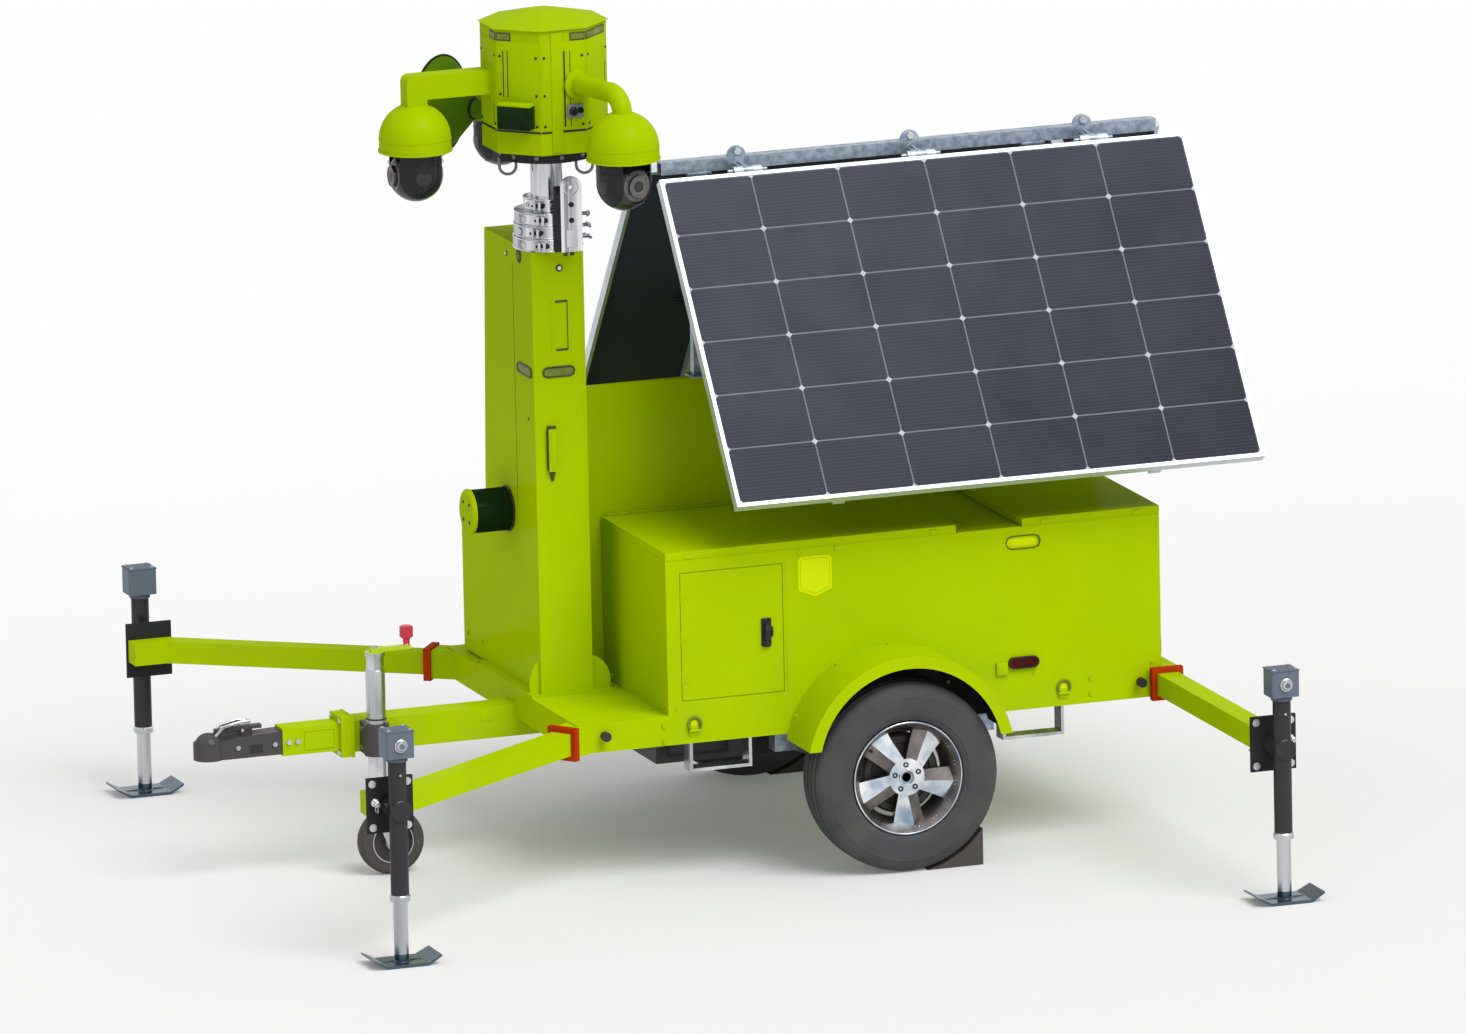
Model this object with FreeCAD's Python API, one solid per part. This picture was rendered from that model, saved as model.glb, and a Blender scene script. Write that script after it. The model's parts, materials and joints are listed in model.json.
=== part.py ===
import FreeCAD, Part
import math
import os

# Mobile solar surveillance tower on a towed trailer, in millimetres.
# +X points forward to the coupling, +Y to the left side, +Z up, and z = 0 is the ground.
# x = 0 lies midway between the coupling tip and the rear edge of the solar panels.

Vec = FreeCAD.Vector
UP = Vec(0, 0, 1)
FORWARD = Vec(1, 0, 0)
LEFTWARD = Vec(0, 1, 0)

# Deck and chassis
DECK_FRONT = 600.0
DECK_HALF = 620.0
DECK_TOP = 536.0
DECK_SHEET = 4.0
RAIL_HEIGHT = 90.0
RAIL_WIDTH = 60.0
CROSSMEMBER_XS = (-330.0, -900.0)
RAIL_TOP = DECK_TOP - DECK_SHEET
RAIL_BOTTOM = RAIL_TOP - RAIL_HEIGHT

# Outriggers: square arms that slide in sockets, each with a swivelling jack
ARM_SIZE = 70.0
ARM_WALL = 5.0
ARM_SLIP = 0.5
SOCKET_BORE = ARM_SIZE + 2 * ARM_SLIP
SOCKET_OUTER = RAIL_HEIGHT
ARM_Z = RAIL_BOTTOM + RAIL_HEIGHT / 2
ARM_OVERLAP = 120.0
FRONT_CORNER_INSET = 20.0
FRONT_JACK = (1410.0, 1270.0)
FRONT_SOCKET_LENGTH = 900.0
REAR_ARM_X = -1365.0
REAR_JACK_Y = 1640.0
SOCKET_PROUD = 70.0
COLLAR_WIDTH = 24.0
COLLAR_RIM = 7.0
COLLAR_OUTER = SOCKET_OUTER + 2 * COLLAR_RIM
REAR_SOCKET_END = DECK_HALF + SOCKET_PROUD / 2
DECK_REAR = REAR_ARM_X - SOCKET_OUTER / 2
PLUNGER_FRONT_INSET = 90.0
PLUNGER_REAR_INSET = 130.0
PLUNGER_RISE = 10.0

JACK_PLATE = (150.0, 10.0, 175.0)
JACK_PLATE_GAP = 46.0
JACK_TUBE_R = 28.5
JACK_LEG_R = 22.5
JACK_TUBE_BOTTOM = 200.0
JACK_HEAD_BOTTOM = 655.0
JACK_HEAD = (92.0, 84.0, 82.0)
JACK_FOOT = (220.0, 130.0, 10.0)
JACK_FOOT_FLANGE = 26.0
JACK_BOSS_R = 36.0
SWIVEL_PIN_R = 20.0
PIN_SLIP = 0.3
FACE_GAP = 0.5
STUB_LENGTH = 140.0

# Running gear
WHEEL_X = -435.0
TYRE_R = 303.5
TYRE_WIDTH = 178.0
TYRE_GAP = 15.0
TYRE_Y = DECK_HALF + TYRE_GAP + TYRE_WIDTH / 2
BEAD_R = 168.0
RIM_R = 180.0
RIM_WALL = 5.0
RIM_INSET = 14.0
RIM_FLANGE = 3.0
BEAD_SLOPE = 7.0
BEAD_SEAT = 0.5
HUB_R = 60.0
DRUM_R = 128.0
DRUM_BACK = 70.0
DRUM_FRONT = 5.0
SPINDLE_R = 20.0
SPOKE_COUNT = 5
SPOKE_PHASE = 40.0
SPOKE_ROOT = 60.0
SPOKE_TIP = 112.0
SPOKE_THICK = 16.0
SPOKE_PITCH = 14.0
SPOKE_SET_BACK = 34.0
STUD_COUNT = 5
STUD_CIRCLE_R = 42.0
STUD_HOLE_R = 7.0
AXLE_R = 30.0
SPRING_HALF = 335.0
SPRING_RISE = 75.0
SPRING_THICK = 24.0
SPRING_WIDTH = 55.0
SPRING_INSET = 30.0
SPRING_HANGER_DROP = 24.0
SADDLE_HALF = 45.0
FENDER_R = 345.0
FENDER_Z = 355.0
FENDER_SHEET = 3.0
FENDER_LIP = 38.0
FENDER_TIP_ANGLE = 11.5
FENDER_WIDTH = 215.0
FENDER_OUT = DECK_HALF + FENDER_WIDTH
CHOCK_GAP = 6.0
CHOCK_BACK = 247.0
CHOCK_FRONT = 60.0
CHOCK_WIDTH = 140.0

# Hoops for fork tines, and the tray under the front of the deck
HOOP_FRONTS = (225.0, -820.0)
HOOP_LENGTH = 206.0
HOOP_WIDTH = 60.0
HOOP_DEPTH = 92.0
HOOP_BAR = 10.0
TRAY_REAR = -147.0
TRAY_FRONT = 288.0
TRAY_INSET = 140.0
TRAY_DEPTH = 90.0

# Drawbar, coupling and jockey wheel
DRAWBAR_SIZE = 100.0
DRAWBAR_WALL = 6.0
DRAWBAR_Z = 435.0
DRAWBAR_FRONT = 1150.0
DRAWBAR_REAR = 200.0
FLANGE_SIZE = (34.0, 112.0, 128.0)
SLEEVE_FRONT = 1372.0
SLEEVE_SIZE = (78.0, 88.0)
COUPLING_TIP = 1653.0
TOW_BALL_R = 25.2
TOW_BALL_DEPTH = 34.0
JOCKEY_X = 1087.0
JOCKEY_Y = 115.0
JOCKEY_TUBE_R = 28.0
JOCKEY_TUBE = (226.5, 704.0)
JOCKEY_WHEEL_R = 105.0
JOCKEY_WHEEL_WIDTH = 56.0
JOCKEY_TRAIL = 37.0
JOCKEY_PIN_R = 10.0
FORK_CROWN = 10.0
FORK_CHEEK = 8.0

# Cabinets, one on each side of a thin spine wall
CAB_FRONT = 293.0
CAB_REAR = -1357.0
CAB_INNER = 22.0
CAB_TOP = 1030.0
CAB_SHEET = 4.0
LID_GAP = 0.5
LID_SIDE_GAP = 5.0
LID_HEIGHT = 26.0
GUTTER_DEPTH = 24.0
GUTTER_LIP = 25.0
FRONT_LID_REAR = -675.0
REAR_LID_FRONT = -897.0
DOOR_X = (-92.0, 245.0)
DOOR_Z = (581.0, 987.0)
DOOR_GAP = 3.0
DOOR_FLANGE = 15.0
DOOR_REST = 0.3
SLOT_X = -899.0
SLOT_Z = 981.0
SLOT_SIZE = (110.0, 36.0)
SPINE_REAR = -1250.0
SPINE_TOP = 1473.0
SPINE_HALF = 15.0

# Lamps: oval markers on the cabinets' sides and square tail lamps behind
MARKER_X = -892.0
MARKER_SIZE = (100.0, 12.0, 36.0)
MARKER_RISE = 60.0
TAIL_INSET = 110.0
TAIL_SIZE = (14.0, 140.0, 60.0)
TAIL_RISE = 60.0

# Mast, its square column and the housings beside it
MAST_X = 480.0
MAST_Y = 112.0
COLUMN_SIZE = 172.0
COLUMN_WALL = 5.0
COLUMN_TOP = 1960.0
BASE_PLATE = (300.0, 560.0, 8.0)
BASE_PLATE_Y = -75.0
BASE_PLATE_AHEAD = 120.0
HOUSING_FAR_TOP = -250.0
HOUSING_FAR_BOTTOM = -330.0
LOW_BOX_FAR = -540.0
LOW_BOX_TOP = 1000.0
CANISTER_Y = -83.0
CANISTER_Z = 1088.0
CANISTER_R = 69.0
CANISTER_LENGTH = 137.0
MAST_RS = (75.0, 67.0, 59.0, 51.0)
MAST_WALL = 5.0
COLLAR_RS = (110.0, 107.0, 104.0, 75.0)
COLLAR_HEIGHT = 40.0
COLLAR_SEAT = 0.5
SCREW_ANGLES = (180.0, 170.0, 160.0, 175.0)
SCREW_LENGTH = 34.0
SCREW_R = 6.0
HANDLE_LENGTH = 60.0
HANDLE_R = 5.0
HANDLE_INSET = 8.0
PULLEY_PLATE = (70.0, 8.0, 205.0)
PULLEY_PLATE_OFFSET = -37.0
PULLEY_PLATE_GAP = 7.0
PULLEY_PIN_R = 6.0
RECESS_X = (450.0, 507.0)
RECESS_Z = (1640.0, 1800.0)
RECESS_DEPTH = 2.0
LATCH_X = (500.0, 526.0)
LATCH_Z = (1258.0, 1394.0)
LATCH_DEPTH = 14.0
GUSSET_HEIGHT = 110.0
GUSSET_THICK = 8.0
GUSSET_REACHES = (60.0, 30.0)
GUSSET_INSET = 20.0

# Surveillance head
HEAD_BOTTOM = 2284.0
HEAD_HEIGHT = 396.0
HEAD_TOP = HEAD_BOTTOM + HEAD_HEIGHT
HEAD_RISE = 35.0
HEAD_FLATS = 365.0
HEAD_BRIM = 8.0
HEAD_CROWN = 92.0
NECK_R = 150.0
NECK_HEIGHT = 34.0
NECK_BOTTOM = HEAD_BOTTOM - NECK_HEIGHT
HORN_ANGLE = -51.5
HORN_REACH = 207.5
HORN_RADIUS = HEAD_FLATS / 2 + HORN_REACH
HORN_MOUTH_R = 160.0
HORN_THROAT_R = 30.0
HORN_DEPTH = 130.0
HORN_WALL = 5.0
HORN_Z = HEAD_BOTTOM + 90.0
FLOODLIGHT_ANGLE = 45.0
FLOODLIGHT_SIZE = (44.0, 108.0, 78.0)
FLOODLIGHT_RISE = 88.0

# Cameras: an arm with an elbow carries a bell cap, a turning yoke and a tilting ball
CAMERA_REACH = 247.5
CAMERA_RADIUS = HEAD_FLATS / 2 + CAMERA_REACH
CAMERAS = (("front", 0.0, "square"), ("left", 105.0, "round"), ("right", 270.0, "round"))
CAMERA_ARM_DROP = 177.0
CAMERA_ARM_Z = HEAD_TOP - CAMERA_ARM_DROP
CAMERA_ARM_SIZE = (66.0, 76.0)
CAMERA_TUBE_R = 31.0
ELBOW_R = 62.0
ELBOW_FILLET = 24.0
CAP_DROP = 203.0
CAP_BOTTOM = CAMERA_ARM_Z - CAP_DROP
CAP_R = 113.0
CAP_WALL = 4.0
CAP_SKIRT = 40.0
CAP_LIP = (3.0, 8.0)
CAP_STEM_R = 26.0
BALL_DROP = 74.0
BALL_R = 86.0
BALL_Z = CAP_BOTTOM - BALL_DROP
BALL_SIDE_GAP = 0.5
BALL_TOP_GAP = 10.0
BALL_FLAT = 16.0
LENS_R = 34.0
LENS_PROUD = 12.0
YOKE_SLOT_HALF = 50.0
YOKE_BASE_R = 60.0
YOKE_BASE_TOP = 116.0
YOKE_BASE_HEIGHT = 22.0

# Solar panels on a ridge frame
PANEL_FRONT = 109.0
PANEL_LENGTH = 1762.0
PANEL_REAR = PANEL_FRONT - PANEL_LENGTH
PANEL_WIDTH = 1134.0
PANEL_DEPTH = 35.0
PANEL_RIM = 12.0
GLASS_THICK = 6.0
HINGE_Y = 100.0
HINGE_Z = 2140.0
PANEL_TILT = 54.0
PANEL_EDGE_GAP = 14.0
PANEL_RAIL = (40.0, 30.0)
RIDGE_HALF = 22.0
RIDGE_HEIGHT = 40.0
RIDGE_WALL = 4.0
RIDGE_RISE = 30.0
RIDGE_TOP = HINGE_Z + RIDGE_RISE
RIDGE_FRONT = PANEL_FRONT - 43.0
RIDGE_REAR = PANEL_REAR + 58.0
EAR_INSET = 300.0
EAR_XS = (PANEL_FRONT - EAR_INSET, PANEL_FRONT - PANEL_LENGTH / 2, PANEL_REAR + EAR_INSET)
EAR_WIDTH = 30.0
EAR_R = 14.0
EAR_ARM = 16.0
LUG_R = 30.0
LUG_THICK = 16.0
KNUCKLE_GAP = 1.0
HINGE_PIN_R = 6.0
HINGE_PIN_LENGTH = 130.0
POST_XS = (-60.0, SPINE_REAR + 70.0)
POST_SIZE = (60.0, 30.0)


def box(x0, x1, y0, y1, z0, z1):
    return Part.makeBox(x1 - x0, y1 - y0, z1 - z0, Vec(x0, y0, z0))


def cylinder(radius, length, base, axis):
    return Part.makeCylinder(radius, length, base, axis)


def ring(outer, inner, length, base, axis):
    return cylinder(outer, length, base, axis).cut(cylinder(inner, length, base, axis))


def fuse(shapes):
    joined = shapes[0]
    if len(shapes) > 1:
        joined = shapes[0].fuse(list(shapes[1:]))
    return joined.removeSplitter()


def mirrored(shape):
    return shape.mirror(Vec(0, 0, 0), LEFTWARD)


def prism(points, direction):
    wire = Part.makePolygon(list(points) + [points[0]])
    return Part.Face(wire).extrude(direction)


def revolved(points, base, axis):
    wire = Part.makePolygon(list(points) + [points[0]])
    return Part.Face(wire).revolve(base, axis, 360)


def turned(shape, degrees, centre, axis):
    copy = shape.copy()
    copy.rotate(centre, axis, degrees)
    return copy


def save(name, shape):
    shape.exportStep("parts/" + name + ".step")


def front_yaw():
    corner = DECK_HALF - FRONT_CORNER_INSET
    plate_y = FRONT_JACK[1] - JACK_TUBE_R - JACK_PLATE_GAP - JACK_PLATE[1]
    return math.degrees(math.atan2(plate_y - corner, FRONT_JACK[0] - DECK_FRONT))


def along_front_arm(size, start, end):
    # A square bar centred on the left front arm's line, from start to end past the deck corner
    corner = Vec(DECK_FRONT, DECK_HALF - FRONT_CORNER_INSET, ARM_Z)
    bar = box(start, end, -size / 2, size / 2, -size / 2, size / 2)
    bar.rotate(Vec(0, 0, 0), UP, front_yaw())
    bar.translate(corner)
    return bar


def along_rear_arm(size, start, end):
    half = size / 2
    return box(REAR_ARM_X - half, REAR_ARM_X + half, start, end, ARM_Z - half, ARM_Z + half)


def front_socket_bar(size):
    return along_front_arm(size, -FRONT_SOCKET_LENGTH, SOCKET_PROUD)


def rear_socket_bar(size):
    return along_rear_arm(size, -REAR_SOCKET_END, REAR_SOCKET_END)


def drawbar_tunnel():
    half = DRAWBAR_SIZE / 2
    return box(DRAWBAR_REAR, DECK_FRONT, -half, half, DRAWBAR_Z - half, DRAWBAR_Z + half)


def chassis_frame():
    # Deck sheet on side rails and cross members, notched where the sockets and the drawbar pass
    side_rail = box(DECK_REAR, DECK_FRONT, DECK_HALF - RAIL_WIDTH, DECK_HALF, RAIL_BOTTOM, RAIL_TOP)
    pieces = [
        box(DECK_REAR, DECK_FRONT, -DECK_HALF, DECK_HALF, RAIL_TOP, DECK_TOP),
        side_rail,
        mirrored(side_rail),
    ]
    for front in (DECK_FRONT,) + CROSSMEMBER_XS:
        pieces.append(box(front - RAIL_WIDTH, front, -DECK_HALF, DECK_HALF, RAIL_BOTTOM, RAIL_TOP))
    front_socket = front_socket_bar(SOCKET_OUTER)
    return fuse(pieces).cut([front_socket, mirrored(front_socket), rear_socket_bar(SOCKET_OUTER),
                             drawbar_tunnel()])


def outrigger_sockets():
    # Two diagonal sockets and one across the rear, with a clamp collar round each of the four mouths
    front = front_socket_bar(SOCKET_OUTER)
    front_collar = along_front_arm(COLLAR_OUTER, SOCKET_PROUD - COLLAR_WIDTH, SOCKET_PROUD).cut(front)
    front = front.cut(front_socket_bar(SOCKET_BORE))
    rear = rear_socket_bar(SOCKET_OUTER)
    rear_collar = along_rear_arm(COLLAR_OUTER, REAR_SOCKET_END - COLLAR_WIDTH, REAR_SOCKET_END).cut(rear)
    rear = rear.cut(rear_socket_bar(SOCKET_BORE))
    return Part.makeCompound([front, mirrored(front), rear, front_collar, mirrored(front_collar),
                              rear_collar, mirrored(rear_collar)])


def index_plungers():
    knobs = []
    for x in (DECK_FRONT - PLUNGER_FRONT_INSET, DECK_REAR + PLUNGER_REAR_INSET):
        base = Vec(x, DECK_HALF, ARM_Z + PLUNGER_RISE)
        knob = fuse([cylinder(9, 14, base, LEFTWARD), cylinder(15, 22, base + LEFTWARD * 14, LEFTWARD)])
        knobs.append(knob)
        knobs.append(mirrored(knob))
    return Part.makeCompound(knobs)


def plate_inner_y(jack_y):
    return jack_y - JACK_TUBE_R - JACK_PLATE_GAP - JACK_PLATE[1]


def end_plate(jack_x, jack_y):
    inner = plate_inner_y(jack_y)
    half_w = JACK_PLATE[0] / 2
    half_h = JACK_PLATE[2] / 2
    plate = box(jack_x - half_w, jack_x + half_w, inner, inner + JACK_PLATE[1],
                ARM_Z - half_h, ARM_Z + half_h)
    pin_length = JACK_PLATE[1] + JACK_PLATE_GAP - 4
    pin = cylinder(SWIVEL_PIN_R, pin_length, Vec(jack_x, inner, ARM_Z), LEFTWARD)
    return fuse([plate, pin])


def front_arm():
    jack_x, jack_y = FRONT_JACK
    inner = plate_inner_y(jack_y)
    bar = along_front_arm(ARM_SIZE, -ARM_OVERLAP, 1400)
    hollow = along_front_arm(ARM_SIZE - 2 * ARM_WALL, -ARM_OVERLAP, 1400)
    beyond = box(DECK_FRONT, 4 * jack_x, inner, 4 * jack_y, 0, 2 * ARM_Z)
    half = ARM_SIZE / 2
    stub = box(jack_x - STUB_LENGTH / 2, jack_x + STUB_LENGTH / 2, inner - ARM_SIZE, inner,
               ARM_Z - half, ARM_Z + half)
    bar = bar.cut(beyond).fuse(stub).cut(hollow.cut(beyond).cut(stub))
    return fuse([bar, end_plate(jack_x, jack_y)])


def rear_arm():
    inner = plate_inner_y(REAR_JACK_Y)
    start = DECK_HALF - ARM_OVERLAP
    bar = along_rear_arm(ARM_SIZE, start, inner)
    hollow = along_rear_arm(ARM_SIZE - 2 * ARM_WALL, start, inner - ARM_SIZE)
    return fuse([bar.cut(hollow), end_plate(REAR_ARM_X, REAR_JACK_Y)])


def jack_body(jack_x, jack_y):
    foot = Vec(jack_x, jack_y, JACK_TUBE_BOTTOM)
    length = JACK_HEAD_BOTTOM - JACK_TUBE_BOTTOM
    half_x = JACK_HEAD[0] / 2
    half_y = JACK_HEAD[1] / 2
    head = box(jack_x - half_x, jack_x + half_x, jack_y - half_y, jack_y + half_y,
               JACK_HEAD_BOTTOM, JACK_HEAD_BOTTOM + JACK_HEAD[2])
    head = head.makeFillet(10, [edge for edge in head.Edges if abs(edge.tangentAt(0).z) > 0.9])
    shaft = cylinder(9, 16, Vec(jack_x, jack_y + half_y, JACK_HEAD_BOTTOM + JACK_HEAD[2] / 2), LEFTWARD)
    boss_start = jack_y - JACK_TUBE_R - JACK_PLATE_GAP + FACE_GAP
    boss = cylinder(JACK_BOSS_R, jack_y - boss_start, Vec(jack_x, boss_start, ARM_Z), LEFTWARD)
    solid = fuse([cylinder(JACK_TUBE_R, length, foot, UP), boss, head, shaft])
    bore = cylinder(JACK_LEG_R + PIN_SLIP, length, foot, UP)
    pin_bore = cylinder(SWIVEL_PIN_R + PIN_SLIP, JACK_PLATE_GAP, Vec(jack_x, boss_start, ARM_Z), LEFTWARD)
    return solid.cut([bore, pin_bore])


def jack_leg(jack_x, jack_y):
    leg = cylinder(JACK_LEG_R, JACK_TUBE_BOTTOM + 200, Vec(jack_x, jack_y, JACK_FOOT[2] / 2), UP)
    half_x = JACK_FOOT[0] / 2
    half_y = JACK_FOOT[1] / 2
    flat = 0.6 * half_x
    outline = [
        Vec(jack_x - half_x, jack_y - half_y, JACK_FOOT_FLANGE),
        Vec(jack_x - flat, jack_y - half_y, 0),
        Vec(jack_x + flat, jack_y - half_y, 0),
        Vec(jack_x + half_x, jack_y - half_y, JACK_FOOT_FLANGE),
        Vec(jack_x + half_x, jack_y - half_y, JACK_FOOT_FLANGE + 6),
        Vec(jack_x + flat, jack_y - half_y, JACK_FOOT[2]),
        Vec(jack_x - flat, jack_y - half_y, JACK_FOOT[2]),
        Vec(jack_x - half_x, jack_y - half_y, JACK_FOOT_FLANGE + 6),
    ]
    foot = prism(outline, LEFTWARD * JACK_FOOT[1])
    return fuse([leg, foot])


def tyre():
    half = TYRE_WIDTH / 2
    flange = half - RIM_INSET - RIM_FLANGE - BEAD_SEAT
    # Distance from the middle plane and radius, from the bead out to the tread
    section = [
        (flange - BEAD_SLOPE, BEAD_R), (flange, RIM_R + BEAD_SEAT), (half - 4, BEAD_R + 30),
        (half, BEAD_R + 70), (half - 6, TYRE_R - 30), (half - 20, TYRE_R - 6), (half - 40, TYRE_R),
    ]
    points = [Vec(0, -y, r) for y, r in section]
    points += [Vec(0, y, r) for y, r in reversed(section)]
    shape = revolved(points, Vec(0, 0, 0), LEFTWARD)
    shape.translate(Vec(WHEEL_X, TYRE_Y, TYRE_R))
    return shape


def rim():
    half = TYRE_WIDTH / 2
    lip = half - RIM_INSET
    well = BEAD_R - 22
    seat = BEAD_R - BEAD_SEAT
    inner = [
        (lip, RIM_R), (lip, RIM_R - RIM_WALL), (lip - 22, seat - RIM_WALL), (20, well - RIM_WALL),
    ]
    outer = [
        (lip - RIM_FLANGE, RIM_R), (lip - RIM_FLANGE - BEAD_SLOPE, seat), (30, seat), (20, well),
    ]
    barrel = [Vec(0, -y, r) for y, r in inner]
    barrel += [Vec(0, y, r) for y, r in reversed(inner)]
    barrel += [Vec(0, y, r) for y, r in outer]
    barrel += [Vec(0, -y, r) for y, r in reversed(outer)]
    face = lip - 12
    within = [Vec(0, -lip, 0), Vec(0, -lip, RIM_R - 1)]
    within += [Vec(0, -y, r - 1) for y, r in outer] + [Vec(0, y, r - 1) for y, r in reversed(outer)]
    within += [Vec(0, lip, RIM_R - 1), Vec(0, lip, 0)]
    envelope = revolved(within, Vec(0, 0, 0), LEFTWARD)
    pieces = [
        revolved(barrel, Vec(0, 0, 0), LEFTWARD),
        cylinder(DRUM_R, DRUM_BACK + DRUM_FRONT, Vec(0, -DRUM_BACK, 0), LEFTWARD),
        cylinder(HUB_R, face - DRUM_FRONT, Vec(0, DRUM_FRONT, 0), LEFTWARD),
    ]
    root = HUB_R - SPOKE_THICK
    for index in range(SPOKE_COUNT):
        # A broad blade that widens to the barrel and is pitched like a fan blade
        blade = prism([
            Vec(-SPOKE_ROOT / 2, 0, root), Vec(SPOKE_ROOT / 2, 0, root),
            Vec(SPOKE_TIP / 2, 0, RIM_R), Vec(-SPOKE_TIP / 2, 0, RIM_R),
        ], LEFTWARD * SPOKE_THICK)
        blade.rotate(Vec(0, 0, 0), UP, SPOKE_PITCH)
        blade.translate(LEFTWARD * (face - SPOKE_SET_BACK))
        blade.rotate(Vec(0, 0, 0), LEFTWARD, SPOKE_PHASE + index * 360.0 / SPOKE_COUNT)
        pieces.append(blade.common(envelope))
    solid = fuse(pieces)
    holes = [cylinder(SPINDLE_R + PIN_SLIP, 2 * TYRE_WIDTH, Vec(0, -TYRE_WIDTH, 0), LEFTWARD)]
    for index in range(STUD_COUNT):
        angle = math.radians(90 - SPOKE_PHASE + (index + 0.5) * 360.0 / STUD_COUNT)
        centre = Vec(STUD_CIRCLE_R * math.cos(angle), face - 14, STUD_CIRCLE_R * math.sin(angle))
        holes.append(cylinder(STUD_HOLE_R, 14, centre, LEFTWARD))
    solid = solid.cut(holes)
    solid.translate(Vec(WHEEL_X, TYRE_Y, TYRE_R))
    return solid


def leaf_spring():
    # Shallow arc of spring leaves from the front hanger, under the axle, to the rear hanger
    hanger_z = RAIL_BOTTOM - SPRING_HANGER_DROP
    low_z = hanger_z - SPRING_RISE
    y1 = DECK_HALF - SPRING_INSET
    y0 = y1 - SPRING_WIDTH
    front = WHEEL_X + SPRING_HALF
    rear = WHEEL_X - SPRING_HALF
    under = SPRING_THICK
    upper = Part.Arc(Vec(front, y0, hanger_z), Vec(WHEEL_X, y0, low_z), Vec(rear, y0, hanger_z)).toShape()
    lower = Part.Arc(Vec(rear, y0, hanger_z - under), Vec(WHEEL_X, y0, low_z - under),
                     Vec(front, y0, hanger_z - under)).toShape()
    ends = [
        Part.makeLine(Vec(rear, y0, hanger_z), Vec(rear, y0, hanger_z - under)),
        Part.makeLine(Vec(front, y0, hanger_z - under), Vec(front, y0, hanger_z)),
    ]
    wire = Part.Wire([upper, ends[0], lower, ends[1]])
    pieces = [Part.Face(wire).extrude(LEFTWARD * SPRING_WIDTH)]
    for x in (front, rear):
        pieces.append(box(x - 32, x + 32, y0, y1, hanger_z - under - 14, RAIL_BOTTOM))
    pieces.append(box(WHEEL_X - SADDLE_HALF, WHEEL_X + SADDLE_HALF, y0, y1, TYRE_R, low_z))
    return fuse(pieces)


def axle():
    spring = leaf_spring()
    beam_half = DECK_HALF - SPRING_INSET + 15
    beam = cylinder(AXLE_R, 2 * beam_half, Vec(WHEEL_X, -beam_half, TYRE_R), LEFTWARD)
    spindle_end = TYRE_Y + TYRE_WIDTH / 2 - 30
    spindle = cylinder(SPINDLE_R, 2 * spindle_end, Vec(WHEEL_X, -spindle_end, TYRE_R), LEFTWARD)
    return fuse([spring, mirrored(spring), beam, spindle])


def fenders():
    # Round-topped sheet arch with an inward-facing outer lip and square-cut tips
    centre = Vec(WHEEL_X, DECK_HALF, FENDER_Z)
    width = FENDER_OUT - DECK_HALF
    sheet = ring(FENDER_R, FENDER_R - FENDER_SHEET, width, centre, LEFTWARD)
    lip_base = Vec(WHEEL_X, FENDER_OUT - FENDER_SHEET, FENDER_Z)
    lip = ring(FENDER_R, FENDER_R - FENDER_LIP, FENDER_SHEET, lip_base, LEFTWARD)
    arch = fuse([sheet, lip])
    cut_z = FENDER_Z + FENDER_R * math.sin(math.radians(FENDER_TIP_ANGLE))
    below = box(WHEEL_X - 2 * FENDER_R, WHEEL_X + 2 * FENDER_R, 0, 2 * FENDER_OUT, -FENDER_R, cut_z)
    left = arch.cut(below)
    return Part.makeCompound([left, mirrored(left)])


def wheel_chocks():
    y0 = TYRE_Y - CHOCK_WIDTH / 2
    block = box(WHEEL_X - CHOCK_BACK, WHEEL_X - CHOCK_FRONT, y0, y0 + CHOCK_WIDTH, 0, TYRE_R)
    wheel = cylinder(TYRE_R + CHOCK_GAP, 2 * CHOCK_WIDTH,
                     Vec(WHEEL_X, y0 - CHOCK_WIDTH / 2, TYRE_R), LEFTWARD)
    wedges = [solid for solid in block.cut(wheel).Solids if solid.BoundBox.ZMin < 1]
    return Part.makeCompound([wedges[0], mirrored(wedges[0])])


def fork_hoops():
    hoops = []
    low = RAIL_BOTTOM - HOOP_DEPTH
    for front in HOOP_FRONTS:
        rear = front - HOOP_LENGTH
        outer = box(rear, front, DECK_HALF - HOOP_WIDTH, DECK_HALF, low, RAIL_BOTTOM)
        inner = box(rear + HOOP_BAR, front - HOOP_BAR, 0, 2 * DECK_HALF, low + HOOP_BAR, RAIL_BOTTOM)
        hoop = outer.cut(inner)
        hoops.append(hoop)
        hoops.append(mirrored(hoop))
    return Part.makeCompound(hoops)


def underbody_box():
    half = DECK_HALF - TRAY_INSET
    tray = box(TRAY_REAR, TRAY_FRONT, -half, half, RAIL_BOTTOM - TRAY_DEPTH, RAIL_BOTTOM)
    return tray.cut(drawbar_tunnel())


def drawbar():
    half = DRAWBAR_SIZE / 2
    bar = box(DRAWBAR_REAR, DRAWBAR_FRONT, -half, half, DRAWBAR_Z - half, DRAWBAR_Z + half)
    inner = half - DRAWBAR_WALL
    hollow = box(DRAWBAR_REAR, DRAWBAR_FRONT, -inner, inner, DRAWBAR_Z - inner, DRAWBAR_Z + inner)
    flange = box(DRAWBAR_FRONT, DRAWBAR_FRONT + FLANGE_SIZE[0], -FLANGE_SIZE[1] / 2, FLANGE_SIZE[1] / 2,
                 DRAWBAR_Z - FLANGE_SIZE[2] / 2, DRAWBAR_Z + FLANGE_SIZE[2] / 2)
    sleeve = box(DRAWBAR_FRONT + FLANGE_SIZE[0], SLEEVE_FRONT, -SLEEVE_SIZE[0] / 2, SLEEVE_SIZE[0] / 2,
                 DRAWBAR_Z - SLEEVE_SIZE[1] / 2, DRAWBAR_Z + SLEEVE_SIZE[1] / 2)
    return fuse([bar.cut(hollow), flange, sleeve])


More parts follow.
